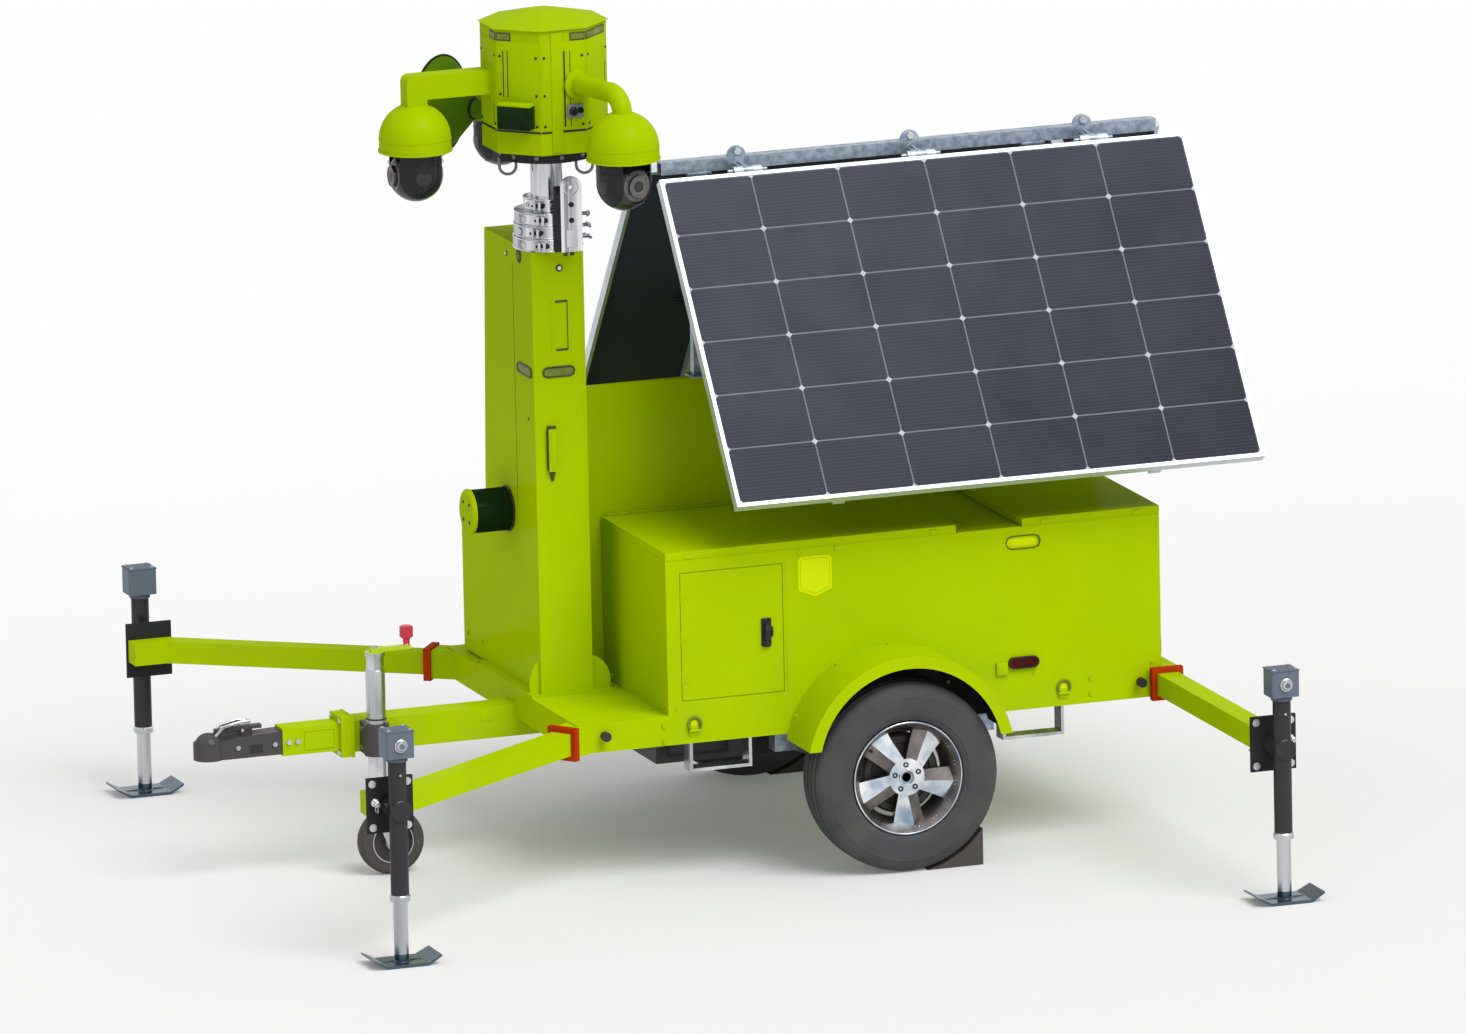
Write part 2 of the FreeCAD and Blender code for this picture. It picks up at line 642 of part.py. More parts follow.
def coupling_head():
    socket_x = COUPLING_TIP - 48
    top = DRAWBAR_Z + 30
    body = prism([
        Vec(SLEEVE_FRONT, -36, DRAWBAR_Z - 38), Vec(SLEEVE_FRONT, -36, top + 6),
        Vec(SLEEVE_FRONT + 140, -36, top), Vec(socket_x, -36, DRAWBAR_Z + 14),
        Vec(socket_x, -36, DRAWBAR_Z - 38),
    ], LEFTWARD * 72)
    housing = cylinder(48, 54, Vec(socket_x, 0, DRAWBAR_Z - 38), UP)
    dome = Part.makeSphere(46, Vec(socket_x, 0, DRAWBAR_Z))
    dome = dome.common(box(socket_x - 60, socket_x + 60, -60, 60, DRAWBAR_Z, DRAWBAR_Z + 60))
    lever = fuse([
        box(SLEEVE_FRONT + 90, socket_x - 20, -8, 8, top - 12, top + 26),
        box(SLEEVE_FRONT + 60, socket_x - 60, -12, 12, top + 18, top + 30),
    ])
    solid = fuse([body, housing, dome, lever])
    ball = cylinder(TOW_BALL_R, TOW_BALL_DEPTH, Vec(socket_x, 0, DRAWBAR_Z - 38), UP)
    return solid.cut(ball)


def jockey_clamp():
    z0 = DRAWBAR_Z - 50
    block = box(JOCKEY_X - 34, JOCKEY_X + 34, DRAWBAR_SIZE / 2, JOCKEY_Y, z0, z0 + 100)
    band = cylinder(JOCKEY_TUBE_R + 12, 100, Vec(JOCKEY_X, JOCKEY_Y, z0), UP)
    bore = cylinder(JOCKEY_TUBE_R + PIN_SLIP, 100, Vec(JOCKEY_X, JOCKEY_Y, z0), UP)
    return fuse([block, band]).cut(bore)


def jockey_tube():
    bottom, top = JOCKEY_TUBE
    base = Vec(JOCKEY_X, JOCKEY_Y, bottom)
    tube = cylinder(JOCKEY_TUBE_R, top - bottom, base, UP)
    cap = cylinder(JOCKEY_TUBE_R + 4, 12, Vec(JOCKEY_X, JOCKEY_Y, top), UP)
    crank = box(JOCKEY_X - 118, JOCKEY_X + 14, JOCKEY_Y - 11, JOCKEY_Y + 11, top + 12, top + 24)
    knob = Part.makeCone(10, 15, 62, Vec(JOCKEY_X - 106, JOCKEY_Y, top + 24), UP)
    pin_length = FORK_CROWN + FACE_GAP
    pin = cylinder(JOCKEY_PIN_R, pin_length, base - UP * pin_length, UP)
    return fuse([tube, cap, crank, knob, pin])


def jockey_fork():
    top = JOCKEY_TUBE[0] - FACE_GAP
    cheek = FORK_CHEEK
    half = JOCKEY_WHEEL_WIDTH / 2 + FORK_CHEEK
    axle_x = JOCKEY_X - JOCKEY_TRAIL
    pieces = [box(JOCKEY_X - 42, JOCKEY_X + 34, JOCKEY_Y - half - cheek, JOCKEY_Y + half + cheek,
                  top - FORK_CROWN, top)]
    for y in (JOCKEY_Y - half - cheek, JOCKEY_Y + half):
        outline = [
            Vec(JOCKEY_X - 42, y, top), Vec(JOCKEY_X + 34, y, top),
            Vec(axle_x + 20, y, JOCKEY_WHEEL_R - 14), Vec(axle_x - 20, y, JOCKEY_WHEEL_R - 14),
        ]
        pieces.append(prism(outline, LEFTWARD * cheek))
    pin_start = JOCKEY_Y - half - cheek - 8
    pieces.append(cylinder(8, 2 * (half + cheek + 8), Vec(axle_x, pin_start, JOCKEY_WHEEL_R), LEFTWARD))
    bore = cylinder(JOCKEY_PIN_R + PIN_SLIP, FORK_CROWN, Vec(JOCKEY_X, JOCKEY_Y, top - FORK_CROWN), UP)
    return fuse(pieces).cut(bore)


def jockey_wheel():
    centre = Vec(JOCKEY_X - JOCKEY_TRAIL, JOCKEY_Y - JOCKEY_WHEEL_WIDTH / 2, JOCKEY_WHEEL_R)
    wheel = cylinder(JOCKEY_WHEEL_R, JOCKEY_WHEEL_WIDTH, centre, LEFTWARD)
    wheel = wheel.makeFillet(14, [edge for edge in wheel.Edges if edge.Curve.TypeId == "Part::GeomCircle"])
    dish = cylinder(70, 14, centre, LEFTWARD)
    dish_far = cylinder(70, 14, centre + LEFTWARD * (JOCKEY_WHEEL_WIDTH - 14), LEFTWARD)
    hub = cylinder(22, JOCKEY_WHEEL_WIDTH, centre, LEFTWARD)
    bore = cylinder(8 + PIN_SLIP, JOCKEY_WHEEL_WIDTH, centre, LEFTWARD)
    return wheel.cut([dish, dish_far]).fuse(hub).cut(bore)


def cabinet_shell():
    # Left cabinet: open under its two lids, with a fixed strip between them and a door hole
    shell = box(CAB_REAR, CAB_FRONT, CAB_INNER, DECK_HALF, DECK_TOP, CAB_TOP)
    inside = box(CAB_REAR + CAB_SHEET, CAB_FRONT - CAB_SHEET, CAB_INNER + CAB_SHEET, DECK_HALF - CAB_SHEET,
                 DECK_TOP + CAB_SHEET, CAB_TOP + 1)
    shell = shell.cut(inside)
    rear = REAR_LID_FRONT + LID_SIDE_GAP
    front = FRONT_LID_REAR - LID_SIDE_GAP
    low = CAB_TOP - GUTTER_DEPTH
    parts = [
        box(rear, front, CAB_INNER, DECK_HALF, CAB_TOP - CAB_SHEET, CAB_TOP + 2),
        box(rear - GUTTER_LIP, front + GUTTER_LIP, CAB_INNER, DECK_HALF, low, low + CAB_SHEET),
        box(rear, rear + CAB_SHEET, CAB_INNER, DECK_HALF, low, CAB_TOP),
        box(front - CAB_SHEET, front, CAB_INNER, DECK_HALF, low, CAB_TOP),
    ]
    shell = fuse([shell] + parts)
    x0, x1 = DOOR_X
    z0, z1 = DOOR_Z
    wall = DECK_HALF - CAB_SHEET
    frame = box(x0 - DOOR_FLANGE, x1 + DOOR_FLANGE, wall - CAB_SHEET, wall,
                z0 - DOOR_FLANGE, z1 + DOOR_FLANGE)
    frame = frame.cut(box(x0 + DOOR_FLANGE, x1 - DOOR_FLANGE, 0, DECK_HALF,
                          z0 + DOOR_FLANGE, z1 - DOOR_FLANGE))
    shell = shell.fuse(frame)
    gap = DOOR_GAP
    opening = box(x0 - gap, x1 + gap, wall - DOOR_REST, DECK_HALF, z0 - gap, z1 + gap)
    slot = box(SLOT_X - SLOT_SIZE[0] / 2, SLOT_X + SLOT_SIZE[0] / 2, wall - 1, DECK_HALF + 1,
               SLOT_Z - SLOT_SIZE[1] / 2, SLOT_Z + SLOT_SIZE[1] / 2)
    return shell.cut([opening, slot])


def cabinet_door():
    x0, x1 = DOOR_X
    z0, z1 = DOOR_Z
    panel = box(x0, x1, DECK_HALF - CAB_SHEET, DECK_HALF, z0, z1)
    latch_x = x0 + 56
    latch_z = (z0 + z1) / 2 - 9
    plate = box(latch_x - 16, latch_x + 16, DECK_HALF, DECK_HALF + 5, latch_z - 44, latch_z + 44)
    grip = box(latch_x - 8, latch_x + 8, DECK_HALF + 5, DECK_HALF + 20, latch_z - 34, latch_z + 30)
    return fuse([panel, plate, grip])


def lid(x0, x1):
    z0 = CAB_TOP + LID_GAP
    top = z0 + LID_HEIGHT
    pan = box(x0, x1, CAB_INNER, DECK_HALF, z0, top)
    sheet = CAB_SHEET
    hollow = box(x0 + sheet, x1 - sheet, CAB_INNER + sheet, DECK_HALF - sheet, z0, top - sheet)
    return pan.cut(hollow)


def base_plate():
    plate_y0 = BASE_PLATE_Y - BASE_PLATE[1] / 2
    return box(MAST_X - BASE_PLATE[0] / 2, MAST_X + BASE_PLATE_AHEAD, plate_y0, plate_y0 + BASE_PLATE[1],
               DECK_TOP, DECK_TOP + BASE_PLATE[2])


def spine_wall():
    front = MAST_X - COLUMN_SIZE / 2
    wall = box(SPINE_REAR, front, -SPINE_HALF, SPINE_HALF, DECK_TOP, SPINE_TOP)
    return wall.cut(base_plate())


def ridge_frame():
    # Slim channel on two posts, with arms out to the hinge pins and a lug over each pair of arms
    bottom = RIDGE_TOP - RIDGE_HEIGHT
    inner = RIDGE_HALF - RIDGE_WALL
    beam = box(RIDGE_REAR, RIDGE_FRONT, -RIDGE_HALF, RIDGE_HALF, bottom, RIDGE_TOP)
    hollow = box(RIDGE_REAR, RIDGE_FRONT, -inner, inner, bottom, RIDGE_TOP - RIDGE_WALL)
    pieces = [beam.cut(hollow)]
    for x in POST_XS:
        pieces.append(box(x - POST_SIZE[0] / 2, x + POST_SIZE[0] / 2, -POST_SIZE[1] / 2, POST_SIZE[1] / 2,
                          SPINE_TOP, RIDGE_TOP - RIDGE_WALL))
    for x in EAR_XS:
        pieces.append(cylinder(LUG_R, LUG_THICK, Vec(x, -LUG_THICK / 2, RIDGE_TOP), LEFTWARD))
        for side in (1, -1):
            axis = Vec(x, side * HINGE_Y, HINGE_Z)
            ear = cylinder(EAR_R, EAR_WIDTH, axis - FORWARD * (EAR_WIDTH / 2), FORWARD)
            ends = sorted((side * inner, side * HINGE_Y))
            arm = box(x - EAR_WIDTH / 2, x + EAR_WIDTH / 2, ends[0], ends[1],
                      HINGE_Z - EAR_ARM / 2, HINGE_Z + EAR_ARM / 2)
            pin = cylinder(HINGE_PIN_R, HINGE_PIN_LENGTH, axis - FORWARD * (HINGE_PIN_LENGTH / 2), FORWARD)
            pieces += [ear, arm, pin]
    return fuse(pieces)


def tilted_left(shape):
    return turned(shape, -PANEL_TILT, Vec(0, HINGE_Y, HINGE_Z), FORWARD)


def panel_frame():
    # Left panel, drawn level and then tilted down about its hinge line
    y0 = HINGE_Y + PANEL_EDGE_GAP
    y1 = y0 + PANEL_WIDTH
    x1 = PANEL_FRONT
    x0 = PANEL_REAR
    z1 = HINGE_Z + PANEL_DEPTH / 2
    z0 = z1 - PANEL_DEPTH
    frame = box(x0, x1, y0, y1, z0, z1)
    frame = frame.cut(box(x0 + PANEL_RIM, x1 - PANEL_RIM, y0 + PANEL_RIM, y1 - PANEL_RIM, z0, z1))
    pieces = [frame]
    for x in (x0 + 0.2 * PANEL_LENGTH, x0 + 0.8 * PANEL_LENGTH):
        pieces.append(box(x - PANEL_RAIL[0] / 2, x + PANEL_RAIL[0] / 2, y0 + 5, y1 - 5,
                          z0 - PANEL_RAIL[1], z0))
    for x in EAR_XS:
        for side in (1, -1):
            start = x + side * (EAR_WIDTH / 2 + KNUCKLE_GAP)
            end = start + side * EAR_WIDTH
            low = min(start, end)
            knuckle = cylinder(EAR_R, EAR_WIDTH, Vec(low, HINGE_Y, HINGE_Z), FORWARD)
            tab = box(low, low + EAR_WIDTH, HINGE_Y, y0 + 4, HINGE_Z - 6, HINGE_Z + 6)
            pieces += [knuckle, tab]
    frame = fuse(pieces)
    bore = cylinder(HINGE_PIN_R + PIN_SLIP, PANEL_LENGTH, Vec(x0, HINGE_Y, HINGE_Z), FORWARD)
    return tilted_left(frame.cut(bore))


def panel_glass():
    y0 = HINGE_Y + PANEL_EDGE_GAP + PANEL_RIM
    y1 = y0 + PANEL_WIDTH - 2 * PANEL_RIM
    x1 = PANEL_FRONT - PANEL_RIM
    x0 = PANEL_REAR + PANEL_RIM
    z1 = HINGE_Z + PANEL_DEPTH / 2 - 2
    return tilted_left(box(x0, x1, y0, y1, z1 - GLASS_THICK, z1))


def gusset(x, reach, foot):
    # Upright web at the column's foot, its free edge an arc
    y = MAST_Y + COLUMN_SIZE / 2 - GUSSET_INSET
    corner = Vec(x, y, foot)
    out = Vec(x + reach, y, foot)
    top = Vec(x, y, foot + GUSSET_HEIGHT)
    bulge = Vec(x + 0.75 * reach, y, foot + 0.72 * GUSSET_HEIGHT)
    wire = Part.Wire([Part.makeLine(corner, out), Part.Arc(out, bulge, top).toShape(),
                      Part.makeLine(top, corner)])
    return Part.Face(wire).extrude(LEFTWARD * GUSSET_THICK)


def mast_column():
    half = COLUMN_SIZE / 2
    inner = half - COLUMN_WALL
    near = MAST_Y + half
    foot = DECK_TOP + BASE_PLATE[2]
    tube = box(MAST_X - half, MAST_X + half, MAST_Y - half, near, foot, COLUMN_TOP)
    tube = tube.cut(box(MAST_X - inner, MAST_X + inner, MAST_Y - inner, MAST_Y + inner, foot, COLUMN_TOP))
    tube = tube.cut(box(RECESS_X[0], RECESS_X[1], near - RECESS_DEPTH, near, RECESS_Z[0], RECESS_Z[1]))
    latch = box(LATCH_X[0], LATCH_X[1], near, near + LATCH_DEPTH, LATCH_Z[0], LATCH_Z[1])
    gussets = [gusset(MAST_X - half, -GUSSET_REACHES[0], foot),
               gusset(MAST_X + half, GUSSET_REACHES[1], foot)]
    return fuse([tube, base_plate(), latch] + gussets)


def front_cowl():
    # Tapered housing beside the column, with a low equipment box and a canister at its foot
    back = MAST_X - COLUMN_SIZE / 2
    front = MAST_X + COLUMN_SIZE / 2
    near = MAST_Y - COLUMN_SIZE / 2
    foot = DECK_TOP + BASE_PLATE[2]
    housing = prism([
        Vec(back, near, foot), Vec(back, HOUSING_FAR_BOTTOM, foot), Vec(back, HOUSING_FAR_TOP, COLUMN_TOP),
        Vec(back, near, COLUMN_TOP),
    ], FORWARD * (front - back))
    low = box(back, front, LOW_BOX_FAR, near, foot, LOW_BOX_TOP)
    canister = cylinder(CANISTER_R, CANISTER_LENGTH, Vec(front, CANISTER_Y, CANISTER_Z), FORWARD)
    return fuse([housing, low, canister])


def mast_tube(index, bottom, top):
    radius = MAST_RS[index]
    centre = Vec(MAST_X, MAST_Y, bottom)
    return cylinder(radius, top - bottom, centre, UP).cut(
        cylinder(radius - MAST_WALL, top - bottom, centre, UP))


def collar(index):
    # Clamp collar on top of a mast section, with a T-handled lock screw on its rear side
    bottom = COLUMN_TOP + index * (COLLAR_HEIGHT + COLLAR_SEAT)
    base = Vec(MAST_X, MAST_Y, bottom)
    outer = COLLAR_RS[index]
    angle = math.radians(SCREW_ANGLES[index])
    outward = Vec(math.cos(angle), math.sin(angle), 0)
    across = Vec(-outward.y, outward.x, 0)
    start = Vec(MAST_X, MAST_Y, bottom + COLLAR_HEIGHT / 2) + outward * (outer - 4)
    handle = start + outward * (SCREW_LENGTH - HANDLE_INSET) - across * (HANDLE_LENGTH / 2)
    solid = fuse([
        cylinder(outer, COLLAR_HEIGHT, base, UP),
        cylinder(SCREW_R, SCREW_LENGTH, start, outward),
        cylinder(HANDLE_R, HANDLE_LENGTH, handle, across),
    ])
    if index + 1 < len(MAST_RS):
        bore = MAST_RS[index + 1] + PIN_SLIP
    else:
        bore = MAST_RS[index] - MAST_WALL
    return solid.cut(cylinder(bore, COLLAR_HEIGHT, base, UP))


def pulley_plate():
    # Upright plate with a rounded top in front of the collars, for the pulley of the lifting cable
    length, thick, height = PULLEY_PLATE
    x = MAST_X + PULLEY_PLATE_OFFSET
    y = MAST_Y + COLLAR_RS[0] + PULLEY_PLATE_GAP
    plate = box(x - length / 2, x + length / 2, y, y + thick, COLUMN_TOP, COLUMN_TOP + height)
    top = cylinder(length / 2, thick, Vec(x, y, COLUMN_TOP + height), LEFTWARD)
    lug = box(x - length / 4, x + length / 4, MAST_Y + MAST_RS[0], y,
              COLUMN_TOP, COLUMN_TOP + COLLAR_HEIGHT - 5)
    pin_hole = cylinder(PULLEY_PIN_R, thick, Vec(x, y, COLUMN_TOP + height), LEFTWARD)
    return fuse([plate, top, lug]).cut(pin_hole)


def mast_section(index):
    foot = DECK_TOP + BASE_PLATE[2]
    bottom = foot + 12 * index
    top = COLUMN_TOP + index * (COLLAR_HEIGHT + COLLAR_SEAT)
    if index + 1 == len(MAST_RS):
        top = NECK_BOTTOM
    pieces = [mast_tube(index, bottom, top), collar(index)]
    if index == 0:
        pieces.append(pulley_plate())
    return fuse(pieces)


def octagon(flats, z):
    radius = flats / 2 / math.cos(math.pi / 8)
    points = []
    for index in range(8):
        angle = math.radians(22.5 + 45 * index)
        points.append(Vec(MAST_X + radius * math.cos(angle), MAST_Y + radius * math.sin(angle), z))
    return points


def head_body():
    return prism(octagon(HEAD_FLATS, HEAD_BOTTOM), UP * HEAD_HEIGHT)


def head_housing():
    brim = octagon(HEAD_FLATS + 2 * HEAD_BRIM, HEAD_TOP)
    crown = octagon(HEAD_CROWN, HEAD_TOP + HEAD_RISE)
    lid_shape = Part.makeLoft([Part.makePolygon(brim + [brim[0]]), Part.makePolygon(crown + [crown[0]])],
                              True, True)
    neck = cylinder(NECK_R, NECK_HEIGHT, Vec(MAST_X, MAST_Y, NECK_BOTTOM), UP)
    return fuse([head_body(), lid_shape, neck])


def camera_centre(angle, z):
    turn = math.radians(angle)
    return Vec(MAST_X + CAMERA_RADIUS * math.cos(turn), MAST_Y + CAMERA_RADIUS * math.sin(turn), z)


def square_arm(drop_bottom):
    # Square tube out of the head with a square drop, its outer corner rounded
    width, height = CAMERA_ARM_SIZE
    end = CAMERA_RADIUS + width / 2
    top = CAMERA_ARM_Z + height / 2
    arm = fuse([
        box(0, end, -width / 2, width / 2, top - height, top),
        box(end - width, end, -width / 2, width / 2, drop_bottom, top),
    ])
    corner = [edge for edge in arm.Edges if edge.BoundBox.XMin > end - 1 and edge.BoundBox.ZMin > top - 1]
    return arm.makeFillet(ELBOW_FILLET, corner)


def round_arm(drop_bottom):
    # Round tube out of the head with a swept elbow and a round drop
    bend = Vec(CAMERA_RADIUS - ELBOW_R, 0, CAMERA_ARM_Z)
    ring_wire = Part.Wire(Part.makeCircle(CAMERA_TUBE_R, bend, FORWARD))
    elbow = Part.Face(ring_wire).revolve(bend - UP * ELBOW_R, LEFTWARD, 90)
    drop_top = CAMERA_ARM_Z - ELBOW_R
    return fuse([
        cylinder(CAMERA_TUBE_R, bend.x, Vec(0, 0, CAMERA_ARM_Z), FORWARD),
        elbow,
        cylinder(CAMERA_TUBE_R, drop_top - drop_bottom, Vec(CAMERA_RADIUS, 0, drop_bottom), UP),
    ])


def bell_solid(radius):
    base = Vec(CAMERA_RADIUS, 0, CAP_BOTTOM)
    dome = Part.makeSphere(radius, base + UP * CAP_SKIRT, UP, 0, 90, 360)
    return cylinder(radius, CAP_SKIRT, base, UP).fuse(dome)


def camera_mount(angle, form):
    # Arm, the bell cap that shades the camera, and the stem inside it that the yoke hangs from
    dome_top = CAP_BOTTOM + CAP_SKIRT + CAP_R
    drop_bottom = dome_top - 20
    arm = square_arm(drop_bottom) if form == "square" else round_arm(drop_bottom)
    stem_bottom = CAP_BOTTOM + YOKE_BASE_TOP + FACE_GAP
    stem = cylinder(CAP_STEM_R, dome_top - stem_bottom, Vec(CAMERA_RADIUS, 0, stem_bottom), UP)
    lip = cylinder(CAP_R + CAP_LIP[0], CAP_LIP[1], Vec(CAMERA_RADIUS, 0, CAP_BOTTOM), UP)
    inside = bell_solid(CAP_R - CAP_WALL)
    mount = fuse([fuse([arm, bell_solid(CAP_R), lip]).cut(inside), stem])
    mount.translate(Vec(MAST_X, MAST_Y, 0))
    mount = turned(mount, angle, Vec(MAST_X, MAST_Y, 0), UP)
    return mount.cut(head_body())


def camera_yoke(angle):
    # Turning housing that hangs in the cap: two round cheeks with the ball in the slot between them
    centre = camera_centre(angle, BALL_Z)
    base_top = CAP_BOTTOM + YOKE_BASE_TOP
    shoulder = base_top - YOKE_BASE_HEIGHT
    housing = fuse([
        Part.makeSphere(BALL_R, centre),
        cylinder(BALL_R, shoulder - BALL_Z, centre, UP),
        cylinder(YOKE_BASE_R, YOKE_BASE_HEIGHT, Vec(centre.x, centre.y, shoulder), UP),
    ])
    slot = box(centre.x - 2 * BALL_R, centre.x + 2 * BALL_R, centre.y - YOKE_SLOT_HALF,
               centre.y + YOKE_SLOT_HALF, BALL_Z - 2 * BALL_R, BALL_Z + BALL_R + BALL_TOP_GAP)
    return turned(housing.cut(slot), angle, Vec(centre.x, centre.y, 0), UP)


def camera_ball(angle):
    # Tilting ball with a flat front face and a round lens window
    centre = camera_centre(angle, BALL_Z)
    half = YOKE_SLOT_HALF - BALL_SIDE_GAP
    front = centre.x + BALL_R - BALL_FLAT
    ball = Part.makeSphere(BALL_R, centre)
    ball = ball.common(box(centre.x - BALL_R, front, centre.y - half, centre.y + half,
                           centre.z - BALL_R, centre.z + BALL_R))
    lens = cylinder(LENS_R, LENS_PROUD, Vec(front, centre.y, centre.z), FORWARD)
    return turned(ball.fuse(lens), angle, centre, UP)


def head_fixtures():
    # A round horn on a stem, and a floodlight
    start = HEAD_FLATS / 2 - 20
    back = HORN_RADIUS - HORN_DEPTH
    horn = Part.makeCone(HORN_THROAT_R, HORN_MOUTH_R, HORN_DEPTH, Vec(back, 0, HORN_Z), FORWARD)
    mouth = Part.makeCone(HORN_THROAT_R - HORN_WALL, HORN_MOUTH_R - HORN_WALL, HORN_DEPTH,
                          Vec(back + HORN_WALL, 0, HORN_Z), FORWARD)
    stem = cylinder(HORN_THROAT_R, back - start, Vec(start, 0, HORN_Z), FORWARD)
    horn = fuse([horn.cut(mouth), stem])
    horn.translate(Vec(MAST_X, MAST_Y, 0))
    horn = turned(horn, HORN_ANGLE, Vec(MAST_X, MAST_Y, 0), UP).cut(head_body())
    depth, width, height = FLOODLIGHT_SIZE
    low = HEAD_BOTTOM + FLOODLIGHT_RISE
    lamp = box(HEAD_FLATS / 2, HEAD_FLATS / 2 + depth, -width / 2, width / 2, low, low + height)
    lamp.translate(Vec(MAST_X, MAST_Y, 0))
    lamp = turned(lamp, FLOODLIGHT_ANGLE, Vec(MAST_X, MAST_Y, 0), UP)
    return Part.makeCompound([horn, lamp])


def lamps():
    pieces = []
    length, thick, height = MARKER_SIZE
    low = DECK_TOP + MARKER_RISE - height / 2
    oval = box(MARKER_X - length / 2, MARKER_X + length / 2, DECK_HALF, DECK_HALF + thick, low, low + height)
    oval = oval.makeFillet(height / 2 - 2, [edge for edge in oval.Edges if abs(edge.tangentAt(0).y) > 0.9])
    tail_y = DECK_HALF - TAIL_INSET
    tail_z = DECK_TOP + TAIL_RISE
    tail = box(CAB_REAR - TAIL_SIZE[0], CAB_REAR, tail_y - TAIL_SIZE[1] / 2, tail_y + TAIL_SIZE[1] / 2,
               tail_z - TAIL_SIZE[2] / 2, tail_z + TAIL_SIZE[2] / 2)
    for shape in (oval, tail):
        pieces += [shape, mirrored(shape)]
    return Part.makeCompound(pieces)


os.makedirs("parts", exist_ok=True)

FIXED = (
    ("chassis_frame", chassis_frame),
    ("outrigger_sockets", outrigger_sockets),
    ("index_plungers", index_plungers),
    ("axle", axle),
    ("fenders", fenders),
    ("wheel_chocks", wheel_chocks),
    ("fork_hoops", fork_hoops),
    ("underbody_box", underbody_box),
    ("drawbar", drawbar),
    ("coupling_head", coupling_head),
    ("jockey_clamp", jockey_clamp),
    ("jockey_tube", jockey_tube),
    ("jockey_fork", jockey_fork),
    ("jockey_wheel", jockey_wheel),
    ("spine_wall", spine_wall),
    ("ridge_frame", ridge_frame),
    ("mast_column", mast_column),
    ("front_cowl", front_cowl),
    ("head_housing", head_housing),
    ("head_fixtures", head_fixtures),
    ("lamps", lamps),
)
for node, make in FIXED:
    save(node, make())

HANDED = (
    ("cabinet_shell", cabinet_shell()),
    ("cabinet_door", cabinet_door()),
    ("cabinet_lid_front", lid(FRONT_LID_REAR, CAB_FRONT)),
    ("cabinet_lid_rear", lid(CAB_REAR, REAR_LID_FRONT)),
    ("panel_frame", panel_frame()),
    ("panel_glass", panel_glass()),
    ("tyre", tyre()),
    ("rim", rim()),
    ("front_arm", front_arm()),
    ("rear_arm", rear_arm()),
    ("front_jack_body", jack_body(*FRONT_JACK)),
    ("rear_jack_body", jack_body(REAR_ARM_X, REAR_JACK_Y)),
    ("front_jack_leg", jack_leg(*FRONT_JACK)),
    ("rear_jack_leg", jack_leg(REAR_ARM_X, REAR_JACK_Y)),
)
for node, shape in HANDED:
    save(node + "_left", shape)
    save(node + "_right", mirrored(shape))

for number in range(len(MAST_RS)):
    save("mast_base" if number == 0 else "mast_stage_%d" % number, mast_section(number))

save("camera_mounts", Part.makeCompound([camera_mount(angle, form) for name, angle, form in CAMERAS]))
for name, angle, form in CAMERAS:
    save("camera_yoke_" + name, camera_yoke(angle))
    save("camera_ball_" + name, camera_ball(angle))
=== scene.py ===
import bmesh
import bpy
import json
import math
from mathutils import Matrix, Vector


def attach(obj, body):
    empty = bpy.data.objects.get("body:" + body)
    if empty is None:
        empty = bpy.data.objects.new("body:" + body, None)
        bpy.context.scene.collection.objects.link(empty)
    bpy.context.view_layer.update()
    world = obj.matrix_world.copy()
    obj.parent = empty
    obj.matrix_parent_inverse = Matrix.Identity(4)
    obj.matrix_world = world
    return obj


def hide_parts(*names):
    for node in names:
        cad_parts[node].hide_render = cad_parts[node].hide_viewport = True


# Looks of the mobile solar surveillance tower, in metres: +X forward, +Y left, +Z up.

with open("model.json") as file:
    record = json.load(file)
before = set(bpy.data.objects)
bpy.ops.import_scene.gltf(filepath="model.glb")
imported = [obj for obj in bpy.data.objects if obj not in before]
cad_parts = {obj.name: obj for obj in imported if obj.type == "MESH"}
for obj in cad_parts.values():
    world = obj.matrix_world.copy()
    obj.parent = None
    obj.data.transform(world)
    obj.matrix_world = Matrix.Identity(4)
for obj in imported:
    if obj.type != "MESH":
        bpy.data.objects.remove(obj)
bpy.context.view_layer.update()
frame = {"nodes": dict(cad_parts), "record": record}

UP = Vector((0, 0, 1))
FORWARD = Vector((1, 0, 0))
LEFTWARD = Vector((0, 1, 0))
SIDES = (("left", 1), ("right", -1))

# Camera and light
IMAGE_WIDTH = 1466
FOCAL_PIXELS = 19407
CAMERA_DISTANCE = 61.25
CAMERA_TARGET = Vector((-0.155, 0, 1.008))
CAMERA_AZIMUTH = math.radians(19.563)
CAMERA_ELEVATION = math.radians(12.353)
CAMERA_ROLL = math.radians(-1.229)
SUN_FROM = Vector((-0.22, 0.60, 0.80))
SUN_STRENGTH = 2.3
SUN_SPREAD = math.radians(40)
SKY_STRENGTH = 0.64
FLOOR_GLOW = 1.0
FLOOR_GLOW_NEAR = 0.12
FLOOR_GLOW_FAR = 0.92
# The glow grows from the near end of the fade, behind the object, to its far end
FLOOR_FADE = (-8.0, -0.6)
FLOOR_HALF = 90
FLOOR_PAINT = (0.76, 0.755, 0.76, 1)
WHITE = (1, 1, 1, 1)


# Shader maths

